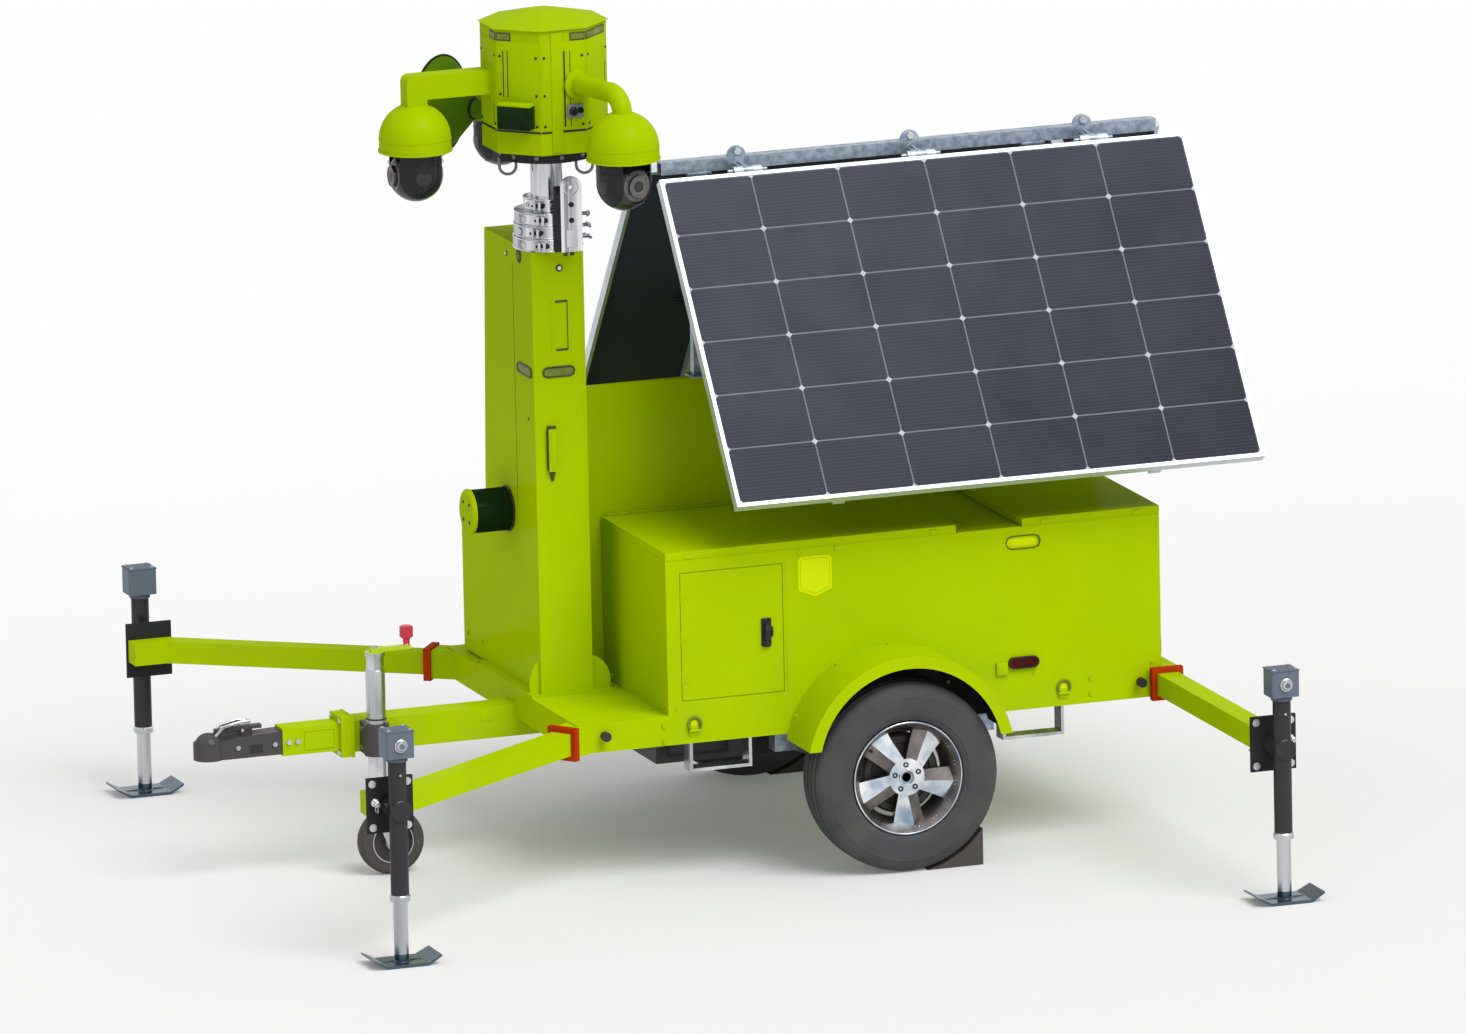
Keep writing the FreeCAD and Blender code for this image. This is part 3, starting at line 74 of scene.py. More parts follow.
class Value:
    """A number on a shader socket. Arithmetic on it adds Math nodes."""

    def __init__(self, nodes, socket):
        self.nodes = nodes
        self.socket = socket

    def math(self, operation, *others):
        return self.nodes.node("ShaderNodeMath", {"operation": operation}, [self, *others])

    def __add__(self, other):
        return self.math("ADD", other)

    __radd__ = __add__

    def __sub__(self, other):
        return self.math("SUBTRACT", other)

    def __rsub__(self, other):
        return self.nodes.node("ShaderNodeMath", {"operation": "SUBTRACT"}, [other, self])

    def __mul__(self, other):
        return self.math("MULTIPLY", other)

    __rmul__ = __mul__

    def __truediv__(self, other):
        return self.math("DIVIDE", other)

    def __pow__(self, power):
        return self.math("POWER", power)

    def __abs__(self):
        return self.math("ABSOLUTE")

    def above(self, limit):
        return self.math("GREATER_THAN", limit)

    def below(self, limit):
        return self.math("LESS_THAN", limit)

    def between(self, low, high):
        return self.above(low) * self.below(high)

    def near(self, place, reach):
        return abs(self - place).below(reach)

    def either(self, other):
        return self.math("MAXIMUM", other)

    def ramp(self, low, high):
        """0 at low and under, 1 at high and over."""
        span = {"Value": self, "From Min": low, "From Max": high}
        return self.nodes.node("ShaderNodeMapRange", {"clamp": True}, span)


class Nodes:
    """A node tree, and the one way in which nodes are added to it."""

    def __init__(self, tree):
        self.tree = tree

    def node(self, kind, settings=None, sockets=None, output=0):
        """Adds a node, sets it, fills its sockets with values or links and returns one of its outputs."""
        made = self.tree.nodes.new(kind)
        for key, value in (settings or {}).items():
            setattr(made, key, value)
        pairs = sockets.items() if isinstance(sockets, dict) else enumerate(sockets or [])
        for key, value in pairs:
            self.feed(made.inputs[key], value)
        return Value(self, made.outputs[output]) if made.outputs else None

    def feed(self, target, value):
        if isinstance(value, Value):
            value = value.socket
        if isinstance(value, bpy.types.NodeSocket):
            self.tree.links.new(value, target)
        else:
            target.default_value = value

    def seen(self):
        """1 in what the camera sees, also in a reflection or through glass, and 0 in the light itself."""
        rays = ("Is Camera Ray", "Is Glossy Ray", "Is Transmission Ray")
        direct, reflected, through = [self.node("ShaderNodeLightPath", output=ray) for ray in rays]
        return direct.either(reflected).either(through)


class Finish(Nodes):
    """A material whose colour, roughness and bump come from nodes."""

    def __init__(self, name):
        self.material = bpy.data.materials.new(name)
        self.material.use_nodes = True
        super().__init__(self.material.node_tree)
        self.shader = self.tree.nodes["Principled BSDF"]

    def place(self, rotation=(0, 0, 0), origin=(0, 0, 0)):
        """Object coordinates, moved to origin and turned, as X, Y and Z."""
        coordinates = self.node("ShaderNodeTexCoord", output=3)
        mapped = self.node("ShaderNodeMapping", {"vector_type": "TEXTURE"},
                           {"Vector": coordinates, "Location": origin, "Rotation": rotation})
        parts = self.node("ShaderNodeSeparateXYZ", None, [mapped]).socket.node
        return mapped, [Value(self, socket) for socket in parts.outputs]

    def noise(self, scale, detail=2.0, where=None):
        """Smooth noise over the piece."""
        where = where or self.node("ShaderNodeTexCoord", output=3)
        return self.node("ShaderNodeTexNoise", None, {"Scale": scale, "Detail": detail, "Vector": where})

    def mix(self, factor, first, second):
        """A colour between first and second."""
        return self.node("ShaderNodeMix", {"data_type": "RGBA"}, {0: factor, 6: first, 7: second}, output=2)

    def bump(self, height, distance, strength):
        """Fine relief that follows a height."""
        sockets = {"Height": height, "Distance": distance, "Strength": strength}
        self.feed(self.shader.inputs["Normal"], self.node("ShaderNodeBump", None, sockets))

    def set(self, **sockets):
        """Feeds sockets of the shader, by short names."""
        names = {"color": "Base Color", "rough": "Roughness", "metal": "Metallic", "coat": "Coat Weight",
                 "coat_rough": "Coat Roughness", "ior": "IOR", "specular": "Specular IOR Level"}
        for key, value in sockets.items():
            self.feed(self.shader.inputs[names[key]], value)


def rgb(red, green, blue):
    """A colour given as it looks on screen, 0 to 255, as linear light."""
    shares = [value / 255 for value in (red, green, blue)]
    linear = [share / 12.92 if share < 0.0404 else ((share + 0.055) / 1.055) ** 2.4 for share in shares]
    return (*linear, 1.0)


# Colours, as they look on screen
LIME = rgb(170, 196, 0)
LIME_DEEP = rgb(154, 181, 0)
LIME_DUST = rgb(150, 166, 48)
LIME_BRIGHT = rgb(208, 226, 10)
OLIVE = rgb(116, 132, 14)
OLIVE_DARK = rgb(52, 64, 12)
DEEP_GREEN = rgb(20, 40, 14)
BLACK = rgb(50, 50, 53)
COLLAR_RED = rgb(172, 52, 12)
ZINC = rgb(212, 214, 217)
ZINC_DULL = rgb(166, 170, 174)
GALVANISED = rgb(128, 142, 158)
GALVANISED_PALE = rgb(176, 188, 202)
SLATE = rgb(96, 106, 120)
ALLOY = rgb(208, 213, 220)
FRAME_ALLOY = rgb(182, 189, 198)
MAST_SHADE = rgb(112, 116, 122)
TYRE = rgb(62, 62, 64)
TYRE_WORN = rgb(82, 80, 78)
CHOCK = rgb(66, 62, 60)
SMOKED = rgb(34, 35, 38)
CELL = rgb(60, 64, 76)
CELL_DARK = rgb(26, 30, 41)
CELL_LINE = rgb(140, 146, 158)
BACKSHEET = rgb(64, 68, 82)
DRUM = rgb(58, 54, 50)
RED_GRIP = rgb(206, 46, 66)
LENS_RED = rgb(78, 14, 10)
# The horn's lime, darkened as painted shade
HORN_SHADE_GREEN = rgb(74, 110, 8)
FOOT_SLATE = rgb(84, 98, 114)


# Heights over which the paint is darkened up the mast, as painted shade
HIGH_SHADE = (1.05, 1.6)


def painted(name, base, deep, dust, dirt_top, masks=None, gloss=0.05, specular=0.0):
    """Sprayed enamel: slight orange peel, a little cloudiness, painted shade that deepens the colour up the
    mast, dust low down and scuffed patches.
    """
    finish = Finish(name)
    _, (x, y, z) = finish.place()
    # Random cloudiness, and painted shade that deepens the colour with height
    cloud = (finish.noise(2.3, 3).ramp(0.35, 0.7) * 0.5).either(z.ramp(*HIGH_SHADE) * 0.9)
    fine = finish.noise(38, 4).ramp(0.55, 0.8)
    low = 1 - z.ramp(0.0, dirt_top)
    grime = low * finish.noise(9, 5).ramp(0.42, 0.72) * 0.3
    color = finish.mix(grime, finish.mix(cloud, base, deep), dust)
    rough = 0.4 + fine * 0.08 + grime * 0.25
    for mask, other in masks(x, y, z) if masks else ():
        color = finish.mix(mask, color, other)
    finish.set(color=color, rough=rough, coat=gloss, coat_rough=0.14, specular=specular)
    finish.bump(finish.noise(260, 2), 0.0004, 0.18)
    return finish.material


def metal(name, base, deep, rough, spangle, grain=(1, 1, 1), metallic=1.0, masks=None):
    """Bare or plated metal with patches of a second colour and fine grain along one axis. On the mast, zinc
    and wheel finishes the patches are painted reflections.
    """
    finish = Finish(name)
    _, (x, y, z) = finish.place()
    mapped = finish.node("ShaderNodeMapping", None,
                         {"Vector": finish.node("ShaderNodeTexCoord", output=3), "Scale": grain})
    streak = finish.noise(90, 4, mapped)
    patch = finish.noise(spangle, 3, mapped).ramp(0.35, 0.68)
    color = finish.mix(patch, base, deep)
    for mask, other in masks(x, y, z) if masks else ():
        color = finish.mix(mask, color, other)
    finish.set(color=color, rough=rough + streak * 0.16, metal=metallic)
    finish.bump(streak, 0.0002, 0.25)
    return finish.material


def rubbery(name, base, worn, grain):
    """Matt rubber, paler where it is worn."""
    finish = Finish(name)
    wear = finish.noise(7, 5).ramp(0.45, 0.75)
    finish.set(color=finish.mix(wear * 0.7, base, worn), rough=0.72 + wear * 0.12, specular=0.35)
    finish.bump(finish.noise(grain, 3), 0.0006, 0.35)
    return finish.material


def moulded(name, base, deep, rough, specular=0.5):
    """Moulded plastic with a faint leather grain."""
    finish = Finish(name)
    patch = finish.noise(14, 3).ramp(0.4, 0.7)
    finish.set(color=finish.mix(patch, base, deep), rough=rough + patch * 0.08, specular=specular)
    finish.bump(finish.noise(420, 2), 0.0003, 0.3)
    return finish.material


# Places that the finishes and the pieces share, in metres
DECK_HALF = 0.620
WHEEL_X = -0.435
WHEEL_Y = 0.724
TYRE_R = 0.3035
RIM_FACE = 0.063
FENDER_Z = 0.355
FENDER_R = 0.345
ARM_Z = 0.487
ARM_YAW = math.radians(35.8613)
# On the left side: (x, y) of a front socket's mouth and of the two jacks
FRONT_CORNER = (0.600, 0.600)
FRONT_JACK = (1.410, 1.270)
REAR_JACK = (-1.365, 1.640)
PLATE_BACK = 0.0845
PLATE_THICK = 0.010
MAST_X = 0.480
MAST_Y = 0.112
COLUMN_HALF = 0.086
# Canister on the housing beside the mast: (y, z, radius)
CANISTER = (-0.083, 1.088, 0.069)
HEAD_LOW = 2.284
HEAD_HALF = 0.1825
FACE_HALF = HEAD_HALF * math.tan(math.radians(22.5))
# Cameras: (name, angle round the mast)
CAMERAS = (("front", 0), ("left", 105), ("right", 270))
CAMERA_RADIUS = 0.430
CAMERA_LIFT = 2.503
CAP_LOW = 2.300
BALL_Z = 2.226
BALL_R = 0.086
DRAWBAR_Z = 0.435
SOCKET_X = 1.605
# Jockey stem: (x, y)
JOCKEY = (1.087, 0.115)
# Mast collars: (body, lowest z, radius, angle of the clamp ears)
COLLARS = (("trailer", 1.960, 0.110, 62), ("mast_1", 2.0005, 0.107, 52),
           ("mast_2", 2.041, 0.104, 60), ("head", 2.0815, 0.075, 50))
RIDGE_LUGS = (-0.191, -0.772, -1.353)
SLOT_END = 0.0742
# Window slots under the head's lid: (face angle, start and end along the face)
HEAD_SLOTS = ((0, 0.020, SLOT_END), (45, -SLOT_END, -0.024), (90, 0.024, SLOT_END),
              (135, -SLOT_END, 0.056), (180, 0.010, SLOT_END), (225, -SLOT_END, -0.010),
              (270, 0.020, SLOT_END), (315, -SLOT_END, -0.020))
# Grooves on the head: (face angle, place along the face, low z, high z, half width)
GROOVES = ((45, -0.0513, 2.465, 2.612, 0.0016), (45, -0.0361, 2.465, 2.612, 0.0016),
           (90, 0.0037, 2.372, 2.612, 0.0026), (90, 0.0230, 2.372, 2.612, 0.0012),
           (135, 0.0560, 2.480, 2.550, 0.0014), (0, 0.0500, 2.372, 2.440, 0.0014),
           (180, -0.0300, 2.372, 2.612, 0.0016), (180, 0.0300, 2.372, 2.612, 0.0016),
           (315, 0.0400, 2.465, 2.612, 0.0016))

# Where a finish changes on a node
FRONT_COLLAR_START = 0.0457
REAR_COLLAR_START = 0.6305
REAR_SOCKET_FRONT = -1.2
FENDER_INNER_R = 0.3433
FENDER_LIP = 0.8335
ARCH_R = 0.343
CANISTER_REACH = 0.071
SCREW_REACH = 0.1135
GEAR_LOW = 0.6548
FOOT_HIGH = 0.0325
CRANK_LOW = 0.7158
KNOB_LOW = 0.7281
STREAK_X = MAST_X - 0.020
# Middle of the cabinet's grip slot: (x, z)
GRIP_SLOT = (-0.899, 0.981)
# How far a change of colour stays from the face that it ends at
FACE_EDGE = 0.0005


def within(first, second, centre, radius):
    """Inside a circle, in the plane of two coordinates."""
    return ((first - centre[0]) ** 2 + (second - centre[1]) ** 2).below(radius ** 2)


def collar_masks(x, y, z):
    """Clamp collars on the four socket mouths."""
    side = abs(y)
    along = (x - FRONT_CORNER[0]) * math.cos(ARM_YAW) + (side - FRONT_CORNER[1]) * math.sin(ARM_YAW)
    front = along.above(FRONT_COLLAR_START) * x.above(0)
    rear = side.above(REAR_COLLAR_START) * x.below(REAR_SOCKET_FRONT)
    return [(front.either(rear), COLLAR_RED)]


def fender_shade_masks(x, y, z):
    """Black inside the arch, as painted shade."""
    return [(within(x, z, (WHEEL_X, FENDER_Z), FENDER_INNER_R) * abs(y).below(FENDER_LIP), BLACK)]


def arm_masks(x, y, z):
    """Black end plate and pin at the jack."""
    front = abs(y).above(FRONT_JACK[1] - PLATE_BACK - FACE_EDGE) * x.above(0)
    rear = abs(y).above(REAR_JACK[1] - PLATE_BACK - FACE_EDGE) * x.below(0)
    return [(front.either(rear), BLACK)]


def jack_masks(x, y, z):
    """Slate-blue gear head on the black tube."""
    return [(z.above(GEAR_LOW), SLATE)]


def door_masks(x, y, z):
    """Black latch plate on the door's face."""
    return [(abs(y).above(DECK_HALF + 0.0003), BLACK)]


def cowl_masks(x, y, z):
    """Dark canister body."""
    reach = within(y, z, CANISTER, CANISTER_REACH)
    return [(reach * x.above(MAST_X + COLUMN_HALF + FACE_EDGE), DEEP_GREEN)]


def fixture_masks(x, y, z):
    """Horn in a darker green as painted shade; the floodlight keeps the body colour."""
    return [(y.below(0.05), HORN_SHADE_GREEN)]


def mast_masks(x, y, z):
    """Dark handles on the lock screws behind the collars, and a grey streak down the tubes."""
    streak = x.near(STREAK_X, 0.007) * y.above(MAST_Y + 0.02)
    handles = (1 - within(x, y, (MAST_X, MAST_Y), SCREW_REACH)) * x.below(MAST_X - COLUMN_HALF)
    return [(streak * 0.75, MAST_SHADE), (handles, MAST_SHADE)]


def foot_masks(x, y, z):
    """Slate-blue foot plate under the plated screw."""
    return [(z.below(FOOT_HIGH), FOOT_SLATE)]


def arch_shade_masks(x, y, z):
    """Black on the wall behind the wheel, as painted shade in the arch."""
    reach = within(x, z, (WHEEL_X, FENDER_Z), ARCH_R)
    return [(reach * abs(y).above(DECK_HALF - FACE_EDGE), BLACK)]


def shell_masks(x, y, z):
    """Painted shade inside the grip slot, and painted shade on the wall in the wheel arch."""
    # Olive inside the grip slot is painted shade of the recess
    inside = abs(y).below(DECK_HALF - 0.0035) * x.near(GRIP_SLOT[0], 0.06) * z.near(GRIP_SLOT[1], 0.022)
    return [(inside, OLIVE), *arch_shade_masks(x, y, z)]


def head_masks(x, y, z):
    """Black neck under the lime head."""
    return [(z.below(HEAD_LOW - 0.0002), BLACK)]


def crank_masks(x, y, z):
    """Lime crank and red knob on the stem."""
    return [(z.between(CRANK_LOW, KNOB_LOW + 0.0001), LIME), (z.above(KNOB_LOW), RED_GRIP)]


def plated_tube(name):
    """Bright zinc stem with a lime crank and a red knob."""
    finish = Finish(name)
    _, (x, y, z) = finish.place()
    streak = finish.noise(70, 4)
    patch = finish.noise(12, 3).ramp(0.35, 0.68)
    color = finish.mix(patch, ZINC, ZINC_DULL)
    for mask, other in crank_masks(x, y, z):
        color = finish.mix(mask, color, other)
    finish.set(color=color, rough=0.2 + streak * 0.14 + z.above(CRANK_LOW) * 0.2, metal=z.below(CRANK_LOW))
    finish.bump(streak, 0.0002, 0.2)
    return finish.material


# What finishes of one kind share, in the order that their makers take it
LIME_LOOK = (LIME, LIME_DEEP, LIME_DUST, 0.9)
BLACK_LOOK = (BLACK, rgb(30, 30, 33), rgb(84, 80, 74), 0.7)
# Mast and zinc: grey streaks stretched along Z, painted reflections running down the tubes
MAST_LOOK = (rgb(244, 245, 247), rgb(112, 118, 126), 0.12, 22, (1, 1, 0.04))
ZINC_LOOK = (ZINC, ZINC_DULL, 0.2, 12, (1, 1, 0.05))
BLACK_GLOSS = 0.45
FINISHES = {
    "lime_paint": painted("lime_enamel", *LIME_LOOK),
    "black_paint": painted("black_enamel", *BLACK_LOOK, gloss=BLACK_GLOSS),
    "slate_paint": painted("slate_enamel", rgb(74, 72, 72), rgb(62, 60, 60), rgb(96, 94, 90), 0.7, gloss=0.3),
    "galvanised": metal("galvanised_steel", GALVANISED, GALVANISED_PALE, 0.34, 42, metallic=0.85),
    "zinc_plate": metal("zinc_plated_steel", *ZINC_LOOK),
    "mast_tube": metal("mast_alloy", *MAST_LOOK, masks=mast_masks),
    # The light blue patches on the wheel alloy are painted reflection
    "polished_alloy": metal("wheel_alloy", rgb(238, 240, 243), rgb(142, 166, 192), 0.12, 12),
    "panel_alloy": metal("panel_frame_alloy", FRAME_ALLOY, ALLOY, 0.32, 6, (0.05, 1, 1), 0.7),
    "tyre_rubber": rubbery("tyre_tread_rubber", TYRE, TYRE_WORN, 320),
    "hard_rubber": rubbery("hard_rubber_blocks", CHOCK, TYRE_WORN, 180),
    "smoked_dome": moulded("smoked_plastic", SMOKED, rgb(27, 28, 31), 0.18),
    "lamp_lens": moulded("red_lens_plastic", LENS_RED, rgb(40, 8, 6), 0.2, 0.12),
}
# Lime nodes whose colour changes over them: (start of the name, finish, masks)
LIME_NODES = (
    ("outrigger_sockets", "socket_enamel", collar_masks),
    ("chassis_frame", "chassis_enamel", arch_shade_masks),
    ("fenders", "fender_enamel", fender_shade_masks),
    ("front_arm_", "front_arm_enamel", arm_masks),
    ("rear_arm_", "rear_arm_enamel", arm_masks),
    ("cabinet_door_", "door_enamel", door_masks),
    ("cabinet_shell_", "cabinet_enamel", shell_masks),
    ("front_cowl", "cowl_enamel", cowl_masks),
    ("head_fixtures", "fixture_enamel", fixture_masks),
    ("head_housing", "head_enamel", head_masks),
)
# Every node with a finish of its own: (start of the name, material)
NODE_FINISHES = (
    *((start, painted(name, *LIME_LOOK, masks)) for start, name, masks in LIME_NODES),
    ("front_jack_body_", painted("front_jack_enamel", *BLACK_LOOK, jack_masks, BLACK_GLOSS)),
    ("rear_jack_body_", painted("rear_jack_enamel", *BLACK_LOOK, jack_masks, BLACK_GLOSS)),
    ("front_jack_leg_", metal("front_foot_plating", *ZINC_LOOK, masks=foot_masks)),
    ("rear_jack_leg_", metal("rear_foot_plating", *ZINC_LOOK, masks=foot_masks)),
    ("jockey_tube", plated_tube("jockey_plating")),
)
LIME_PAINT = FINISHES["lime_paint"]
BLACK_PAINT = FINISHES["black_paint"]
ZINC_METAL = FINISHES["zinc_plate"]
WHEEL_METAL = FINISHES["polished_alloy"]
STEEL = FINISHES["galvanised"]
RED_LENS = FINISHES["lamp_lens"]
BRIGHT_PAINT = painted("bright_lime_enamel", LIME_BRIGHT, rgb(196, 214, 6), LIME_DUST, 0.5)
OLIVE_PLASTIC = moulded("olive_plastic", OLIVE, rgb(74, 84, 20), 0.5)
DARK_PLASTIC = moulded("dark_plastic", rgb(30, 31, 34), rgb(24, 25, 27), 0.42)
GREEN_GLASS = moulded("dark_green_lens", rgb(18, 46, 12), rgb(12, 30, 10), 0.2, 0.06)
GREY_PLASTIC = moulded("grey_plastic", rgb(120, 122, 126), rgb(104, 106, 110), 0.4)
SLATE_PAINT = painted("slate_blue_enamel", SLATE, rgb(80, 90, 102), rgb(96, 94, 90), 0.7, gloss=0.2)
FOOT_STEEL = metal("slate_foot_steel", FOOT_SLATE, rgb(70, 82, 98), 0.3, 20)
RED_PLASTIC = moulded("red_grip_plastic", RED_GRIP, rgb(150, 24, 40), 0.32)
DRUM_METAL = moulded("brake_drum_iron", DRUM, rgb(44, 40, 38), 0.5)
# A darker copy of the wheel alloy, as painted shade on the barrel and the spokes
SHADE_METAL = metal("wheel_cast_alloy", rgb(132, 126, 122), rgb(84, 80, 80), 0.3, 14)
DARK_OLIVE = moulded("dark_olive_plastic", OLIVE_DARK, rgb(40, 50, 10), 0.5)
LENS_GREY = moulded("camera_window_plastic", rgb(92, 90, 86), rgb(80, 78, 75), 0.3)
# Darker lime, painted shade of the hole in the column's front face
LIME_SHADE = painted("recess_enamel", rgb(92, 112, 0), rgb(70, 88, 0), LIME_DUST, 0.5)

# Solar modules: six by six cells under glass, with thin bars along the long way
HINGE_Y = 0.100
HINGE_Z = 2.140
PANEL_TILT = math.radians(54)
PANEL_FRONT = 0.109
PANEL_LENGTH = 1.762
PANEL_WIDTH = 1.134
PANEL_START = 0.014
CELL_LONG = 0.2895
CELL_SHORT = 0.1848
FIRST_CELL_X = PANEL_FRONT - 0.0125
FIRST_CELL_Y = 0.1265
CELL_GAP_HALF = 0.0022
DIAMOND_HALF = 0.011
BAR_PITCH = 0.0116
GLASS_UNDER = 0.0112


def solar_cells(side_name, side):
    """Cells with their gaps, corner diamonds and thin bars, under one sheet of glass."""
    finish = Finish("solar_cells_" + side_name)
    _, (x, y, z) = finish.place(rotation=(-side * PANEL_TILT, 0, 0), origin=(0, side * HINGE_Y, HINGE_Z))
    along = (FIRST_CELL_X - x) / CELL_LONG
    across = (side * y - (FIRST_CELL_Y - HINGE_Y)) / CELL_SHORT
    u = abs(along.math("FRACT") - 0.5)
    v = abs(across.math("FRACT") - 0.5)
    from_u = (0.5 - u) * CELL_LONG
    from_v = (0.5 - v) * CELL_SHORT
    gap = from_u.below(CELL_GAP_HALF).either(from_v.below(CELL_GAP_HALF))
    diamond = (from_u + from_v).below(DIAMOND_HALF)
    bar = (across * (CELL_SHORT / BAR_PITCH)).math("FRACT").between(0.44, 0.54)
    cloud = finish.noise(5, 3).ramp(0.3, 0.75)
    fall = ((along + across) * (1 / 12)).ramp(0.05, 0.95)
    cell = finish.mix(cloud * 0.3 + fall * 0.7, CELL, CELL_DARK)
    cell = finish.mix(bar * 0.10, cell, CELL_LINE)
    cell = finish.mix(gap * 0.55, cell, CELL_LINE)
    cell = finish.mix(diamond * 0.8, cell, rgb(190, 194, 202))
    under = z.below(GLASS_UNDER)
    finish.set(color=finish.mix(under, cell, BACKSHEET), rough=0.28 + cloud * 0.04 + under * 0.25, coat=0.02,
               coat_rough=0.1, specular=0.05)
    finish.bump(finish.noise(30, 2), 0.0002, 0.1)
    return finish.material


def dress_nodes():
    """Every CAD node takes the finish of its material slot, or its own where that changes over it."""
    slots = {row["node"]: row["material_slot"] for row in frame["record"]["subparts"]}
    for name, node in frame["nodes"].items():
        slot = slots[name]
        own = [material for start, material in NODE_FINISHES if name.startswith(start)]
        if own:
            material = own[0]
        elif slot == "solar_glass":
            side_name = name.rsplit("_", 1)[1]
            material = solar_cells(side_name, dict(SIDES)[side_name])
        else:
            material = FINISHES[slot]
        node.data.materials.clear()
        node.data.materials.append(material)


dress_nodes()


# Tools that make pieces

class Shape:
    """Geometry gathered into one mesh. Each step says which of the piece's materials it takes."""

    def __init__(self, place=None):
        self.mesh = bmesh.new()
        self.place = place or Matrix()

    def take(self, made, material=None):
        """Adds a form at the shape's place. With no material, its faces keep their own and stay flat."""
        made.transform(self.place)
        bmesh.ops.recalc_face_normals(made, faces=made.faces[:])
        for face in made.faces:
            face.smooth = material is not None
            face.material_index = face.material_index if material is None else material
        step = bpy.data.meshes.new("step")
        made.to_mesh(step)
        made.free()
        self.mesh.from_mesh(step)
        bpy.data.meshes.remove(step)

    def block(self, low, high, bevel=0.001, material=0):
        """A box between two corners, with rounded edges."""
        made = bmesh.new()
        bmesh.ops.create_cube(made, size=1)
        low = Vector(low)
        high = Vector(high)
        made.transform(Matrix.Translation((low + high) / 2) @ Matrix.Diagonal((*(high - low), 1)))
        bmesh.ops.bevel(made, geom=made.edges[:], offset=bevel, segments=2, profile=0.5, affect="EDGES")
        self.take(made, material)

    def lathe(self, profile, base, axis=UP, material=0, sides=32):
        """A turned piece. The profile holds pairs of distance along the axis and radius."""
        made = bmesh.new()
        rings = []
        for along, radius in profile:
            count = sides if radius > 1e-6 else 1
            angles = [2 * math.pi * index / sides for index in range(count)]
            points = [(radius * math.cos(angle), radius * math.sin(angle), along) for angle in angles]
            rings.append([made.verts.new(point) for point in points])
        for first, second in zip(rings, rings[1:]):
            if len(first) == 1 and len(second) == 1:
                continue
            for index in range(sides):
                ahead = index + 1
                corners = [first[index % len(first)], first[ahead % len(first)],
                           second[ahead % len(second)], second[index % len(second)]]
                made.faces.new(list(dict.fromkeys(corners)))
        bmesh.ops.remove_doubles(made, verts=made.verts[:], dist=1e-6)
        turn = Vector(axis).to_track_quat("Z", "Y").to_matrix().to_4x4()
        made.transform(Matrix.Translation(Vector(base)) @ turn)
        self.take(made, material)

    def stud(self, base, axis, radius, height, material=0, sides=6, tip=None):
        """A screw head or a boss that stands up from its base, as wide at its tip or narrower."""
        self.lathe([(0, 0), (0, radius), (height, tip or radius), (height, 0)], base, axis, material, sides)

    def rod(self, start, end, radius, material=0, sides=20, chamfer=0.001):
        """A straight round rod with chamfered ends."""
        start = Vector(start)
        end = Vector(end)
        length = (end - start).length
        profile = [(0, 0), (0, radius - chamfer), (chamfer, radius), (length - chamfer, radius),
                   (length, radius - chamfer), (length, 0)]
        self.lathe(profile, start, end - start, material, sides)

    def hoop(self, centre, axis, radius, thick, material=0, sides=32, around=8):
        """A round ring of round section."""
        angles = [2 * math.pi * index / around for index in range(around + 1)]
        profile = [(thick * math.sin(a), radius + thick * math.cos(a)) for a in angles]
        self.lathe(profile, centre, axis, material, sides)

    def bent_rod(self, points, radius, material=0, sides=8, closed=False):
        """A round rod along a line of points, mitred at each."""
        made = bmesh.new()
        path = [Vector(point) for point in points]
        count = len(path)
        side = None
        rings = []
        for index, point in enumerate(path):
            before = path[index - 1] if index or closed else None
            after = path[(index + 1) % count] if index + 1 < count or closed else None
            along = Vector((0, 0, 0))
            if before:
                along += (point - before).normalized()
            if after:
                along += (after - point).normalized()
            along.normalize()
            side = along.orthogonal() if side is None else side - along * side.dot(along)
            side.normalize()
            over = along.cross(side)
            angles = [2 * math.pi * step / sides for step in range(sides)]
            rings.append([made.verts.new(point + (side * math.cos(a) + over * math.sin(a)) * radius)
                          for a in angles])
        pairs = list(zip(rings, rings[1:]))
        if closed:
            pairs.append((rings[-1], rings[0]))
        else:
            made.faces.new(rings[0])
            made.faces.new(rings[-1])
        for first, second in pairs:
            for step in range(sides):
                ahead = (step + 1) % sides
                made.faces.new((first[step], first[ahead], second[ahead], second[step]))
        self.take(made, material)

    def slab(self, outline, push, bevel=0.0005, material=0):
        """A flat outline given a thickness."""
        made = bmesh.new()
        face = made.faces.new([made.verts.new(Vector(point)) for point in outline])
        grown = bmesh.ops.extrude_face_region(made, geom=[face])["geom"]
        moved = [item for item in grown if isinstance(item, bmesh.types.BMVert)]
        bmesh.ops.translate(made, verts=moved, vec=Vector(push))
        if bevel:
            bmesh.ops.bevel(made, geom=made.edges[:], offset=bevel, segments=1, profile=0.5, affect="EDGES")
        self.take(made, material)

    def faces(self, points, polygons, materials):
        """A closed form given by its corners and faces."""
        made = bmesh.new()
        corners = [made.verts.new(point) for point in points]
        for polygon, material in zip(polygons, materials):
            face = made.faces.new([corners[index] for index in polygon])
            face.material_index = material
        self.take(made)


def arc(centre, first, second, start, end, count):
    """Points on an arc: centre + first * cos + second * sin, in degrees."""
    points = []
    for index in range(count + 1):
        angle = math.radians(start + (end - start) * index / count)
        points.append(Vector(centre) + Vector(first) * math.cos(angle) + Vector(second) * math.sin(angle))
    return points


def stadium(centre, along, across, length, width, count=8):
    """Outline of a slot with round ends."""
    along = Vector(along)
    across = Vector(across)
    half = (length - width) / 2
    radius = width / 2
    one = arc(Vector(centre) + along * half, along * radius, across * radius, -90, 90, count)
    return one + arc(Vector(centre) - along * half, along * radius, across * radius, 90, 270, count)


def settle(piece, body):
    """Links a finished piece, and says what it rides on."""
    bpy.context.scene.collection.objects.link(piece)
    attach(piece, body)
    return piece


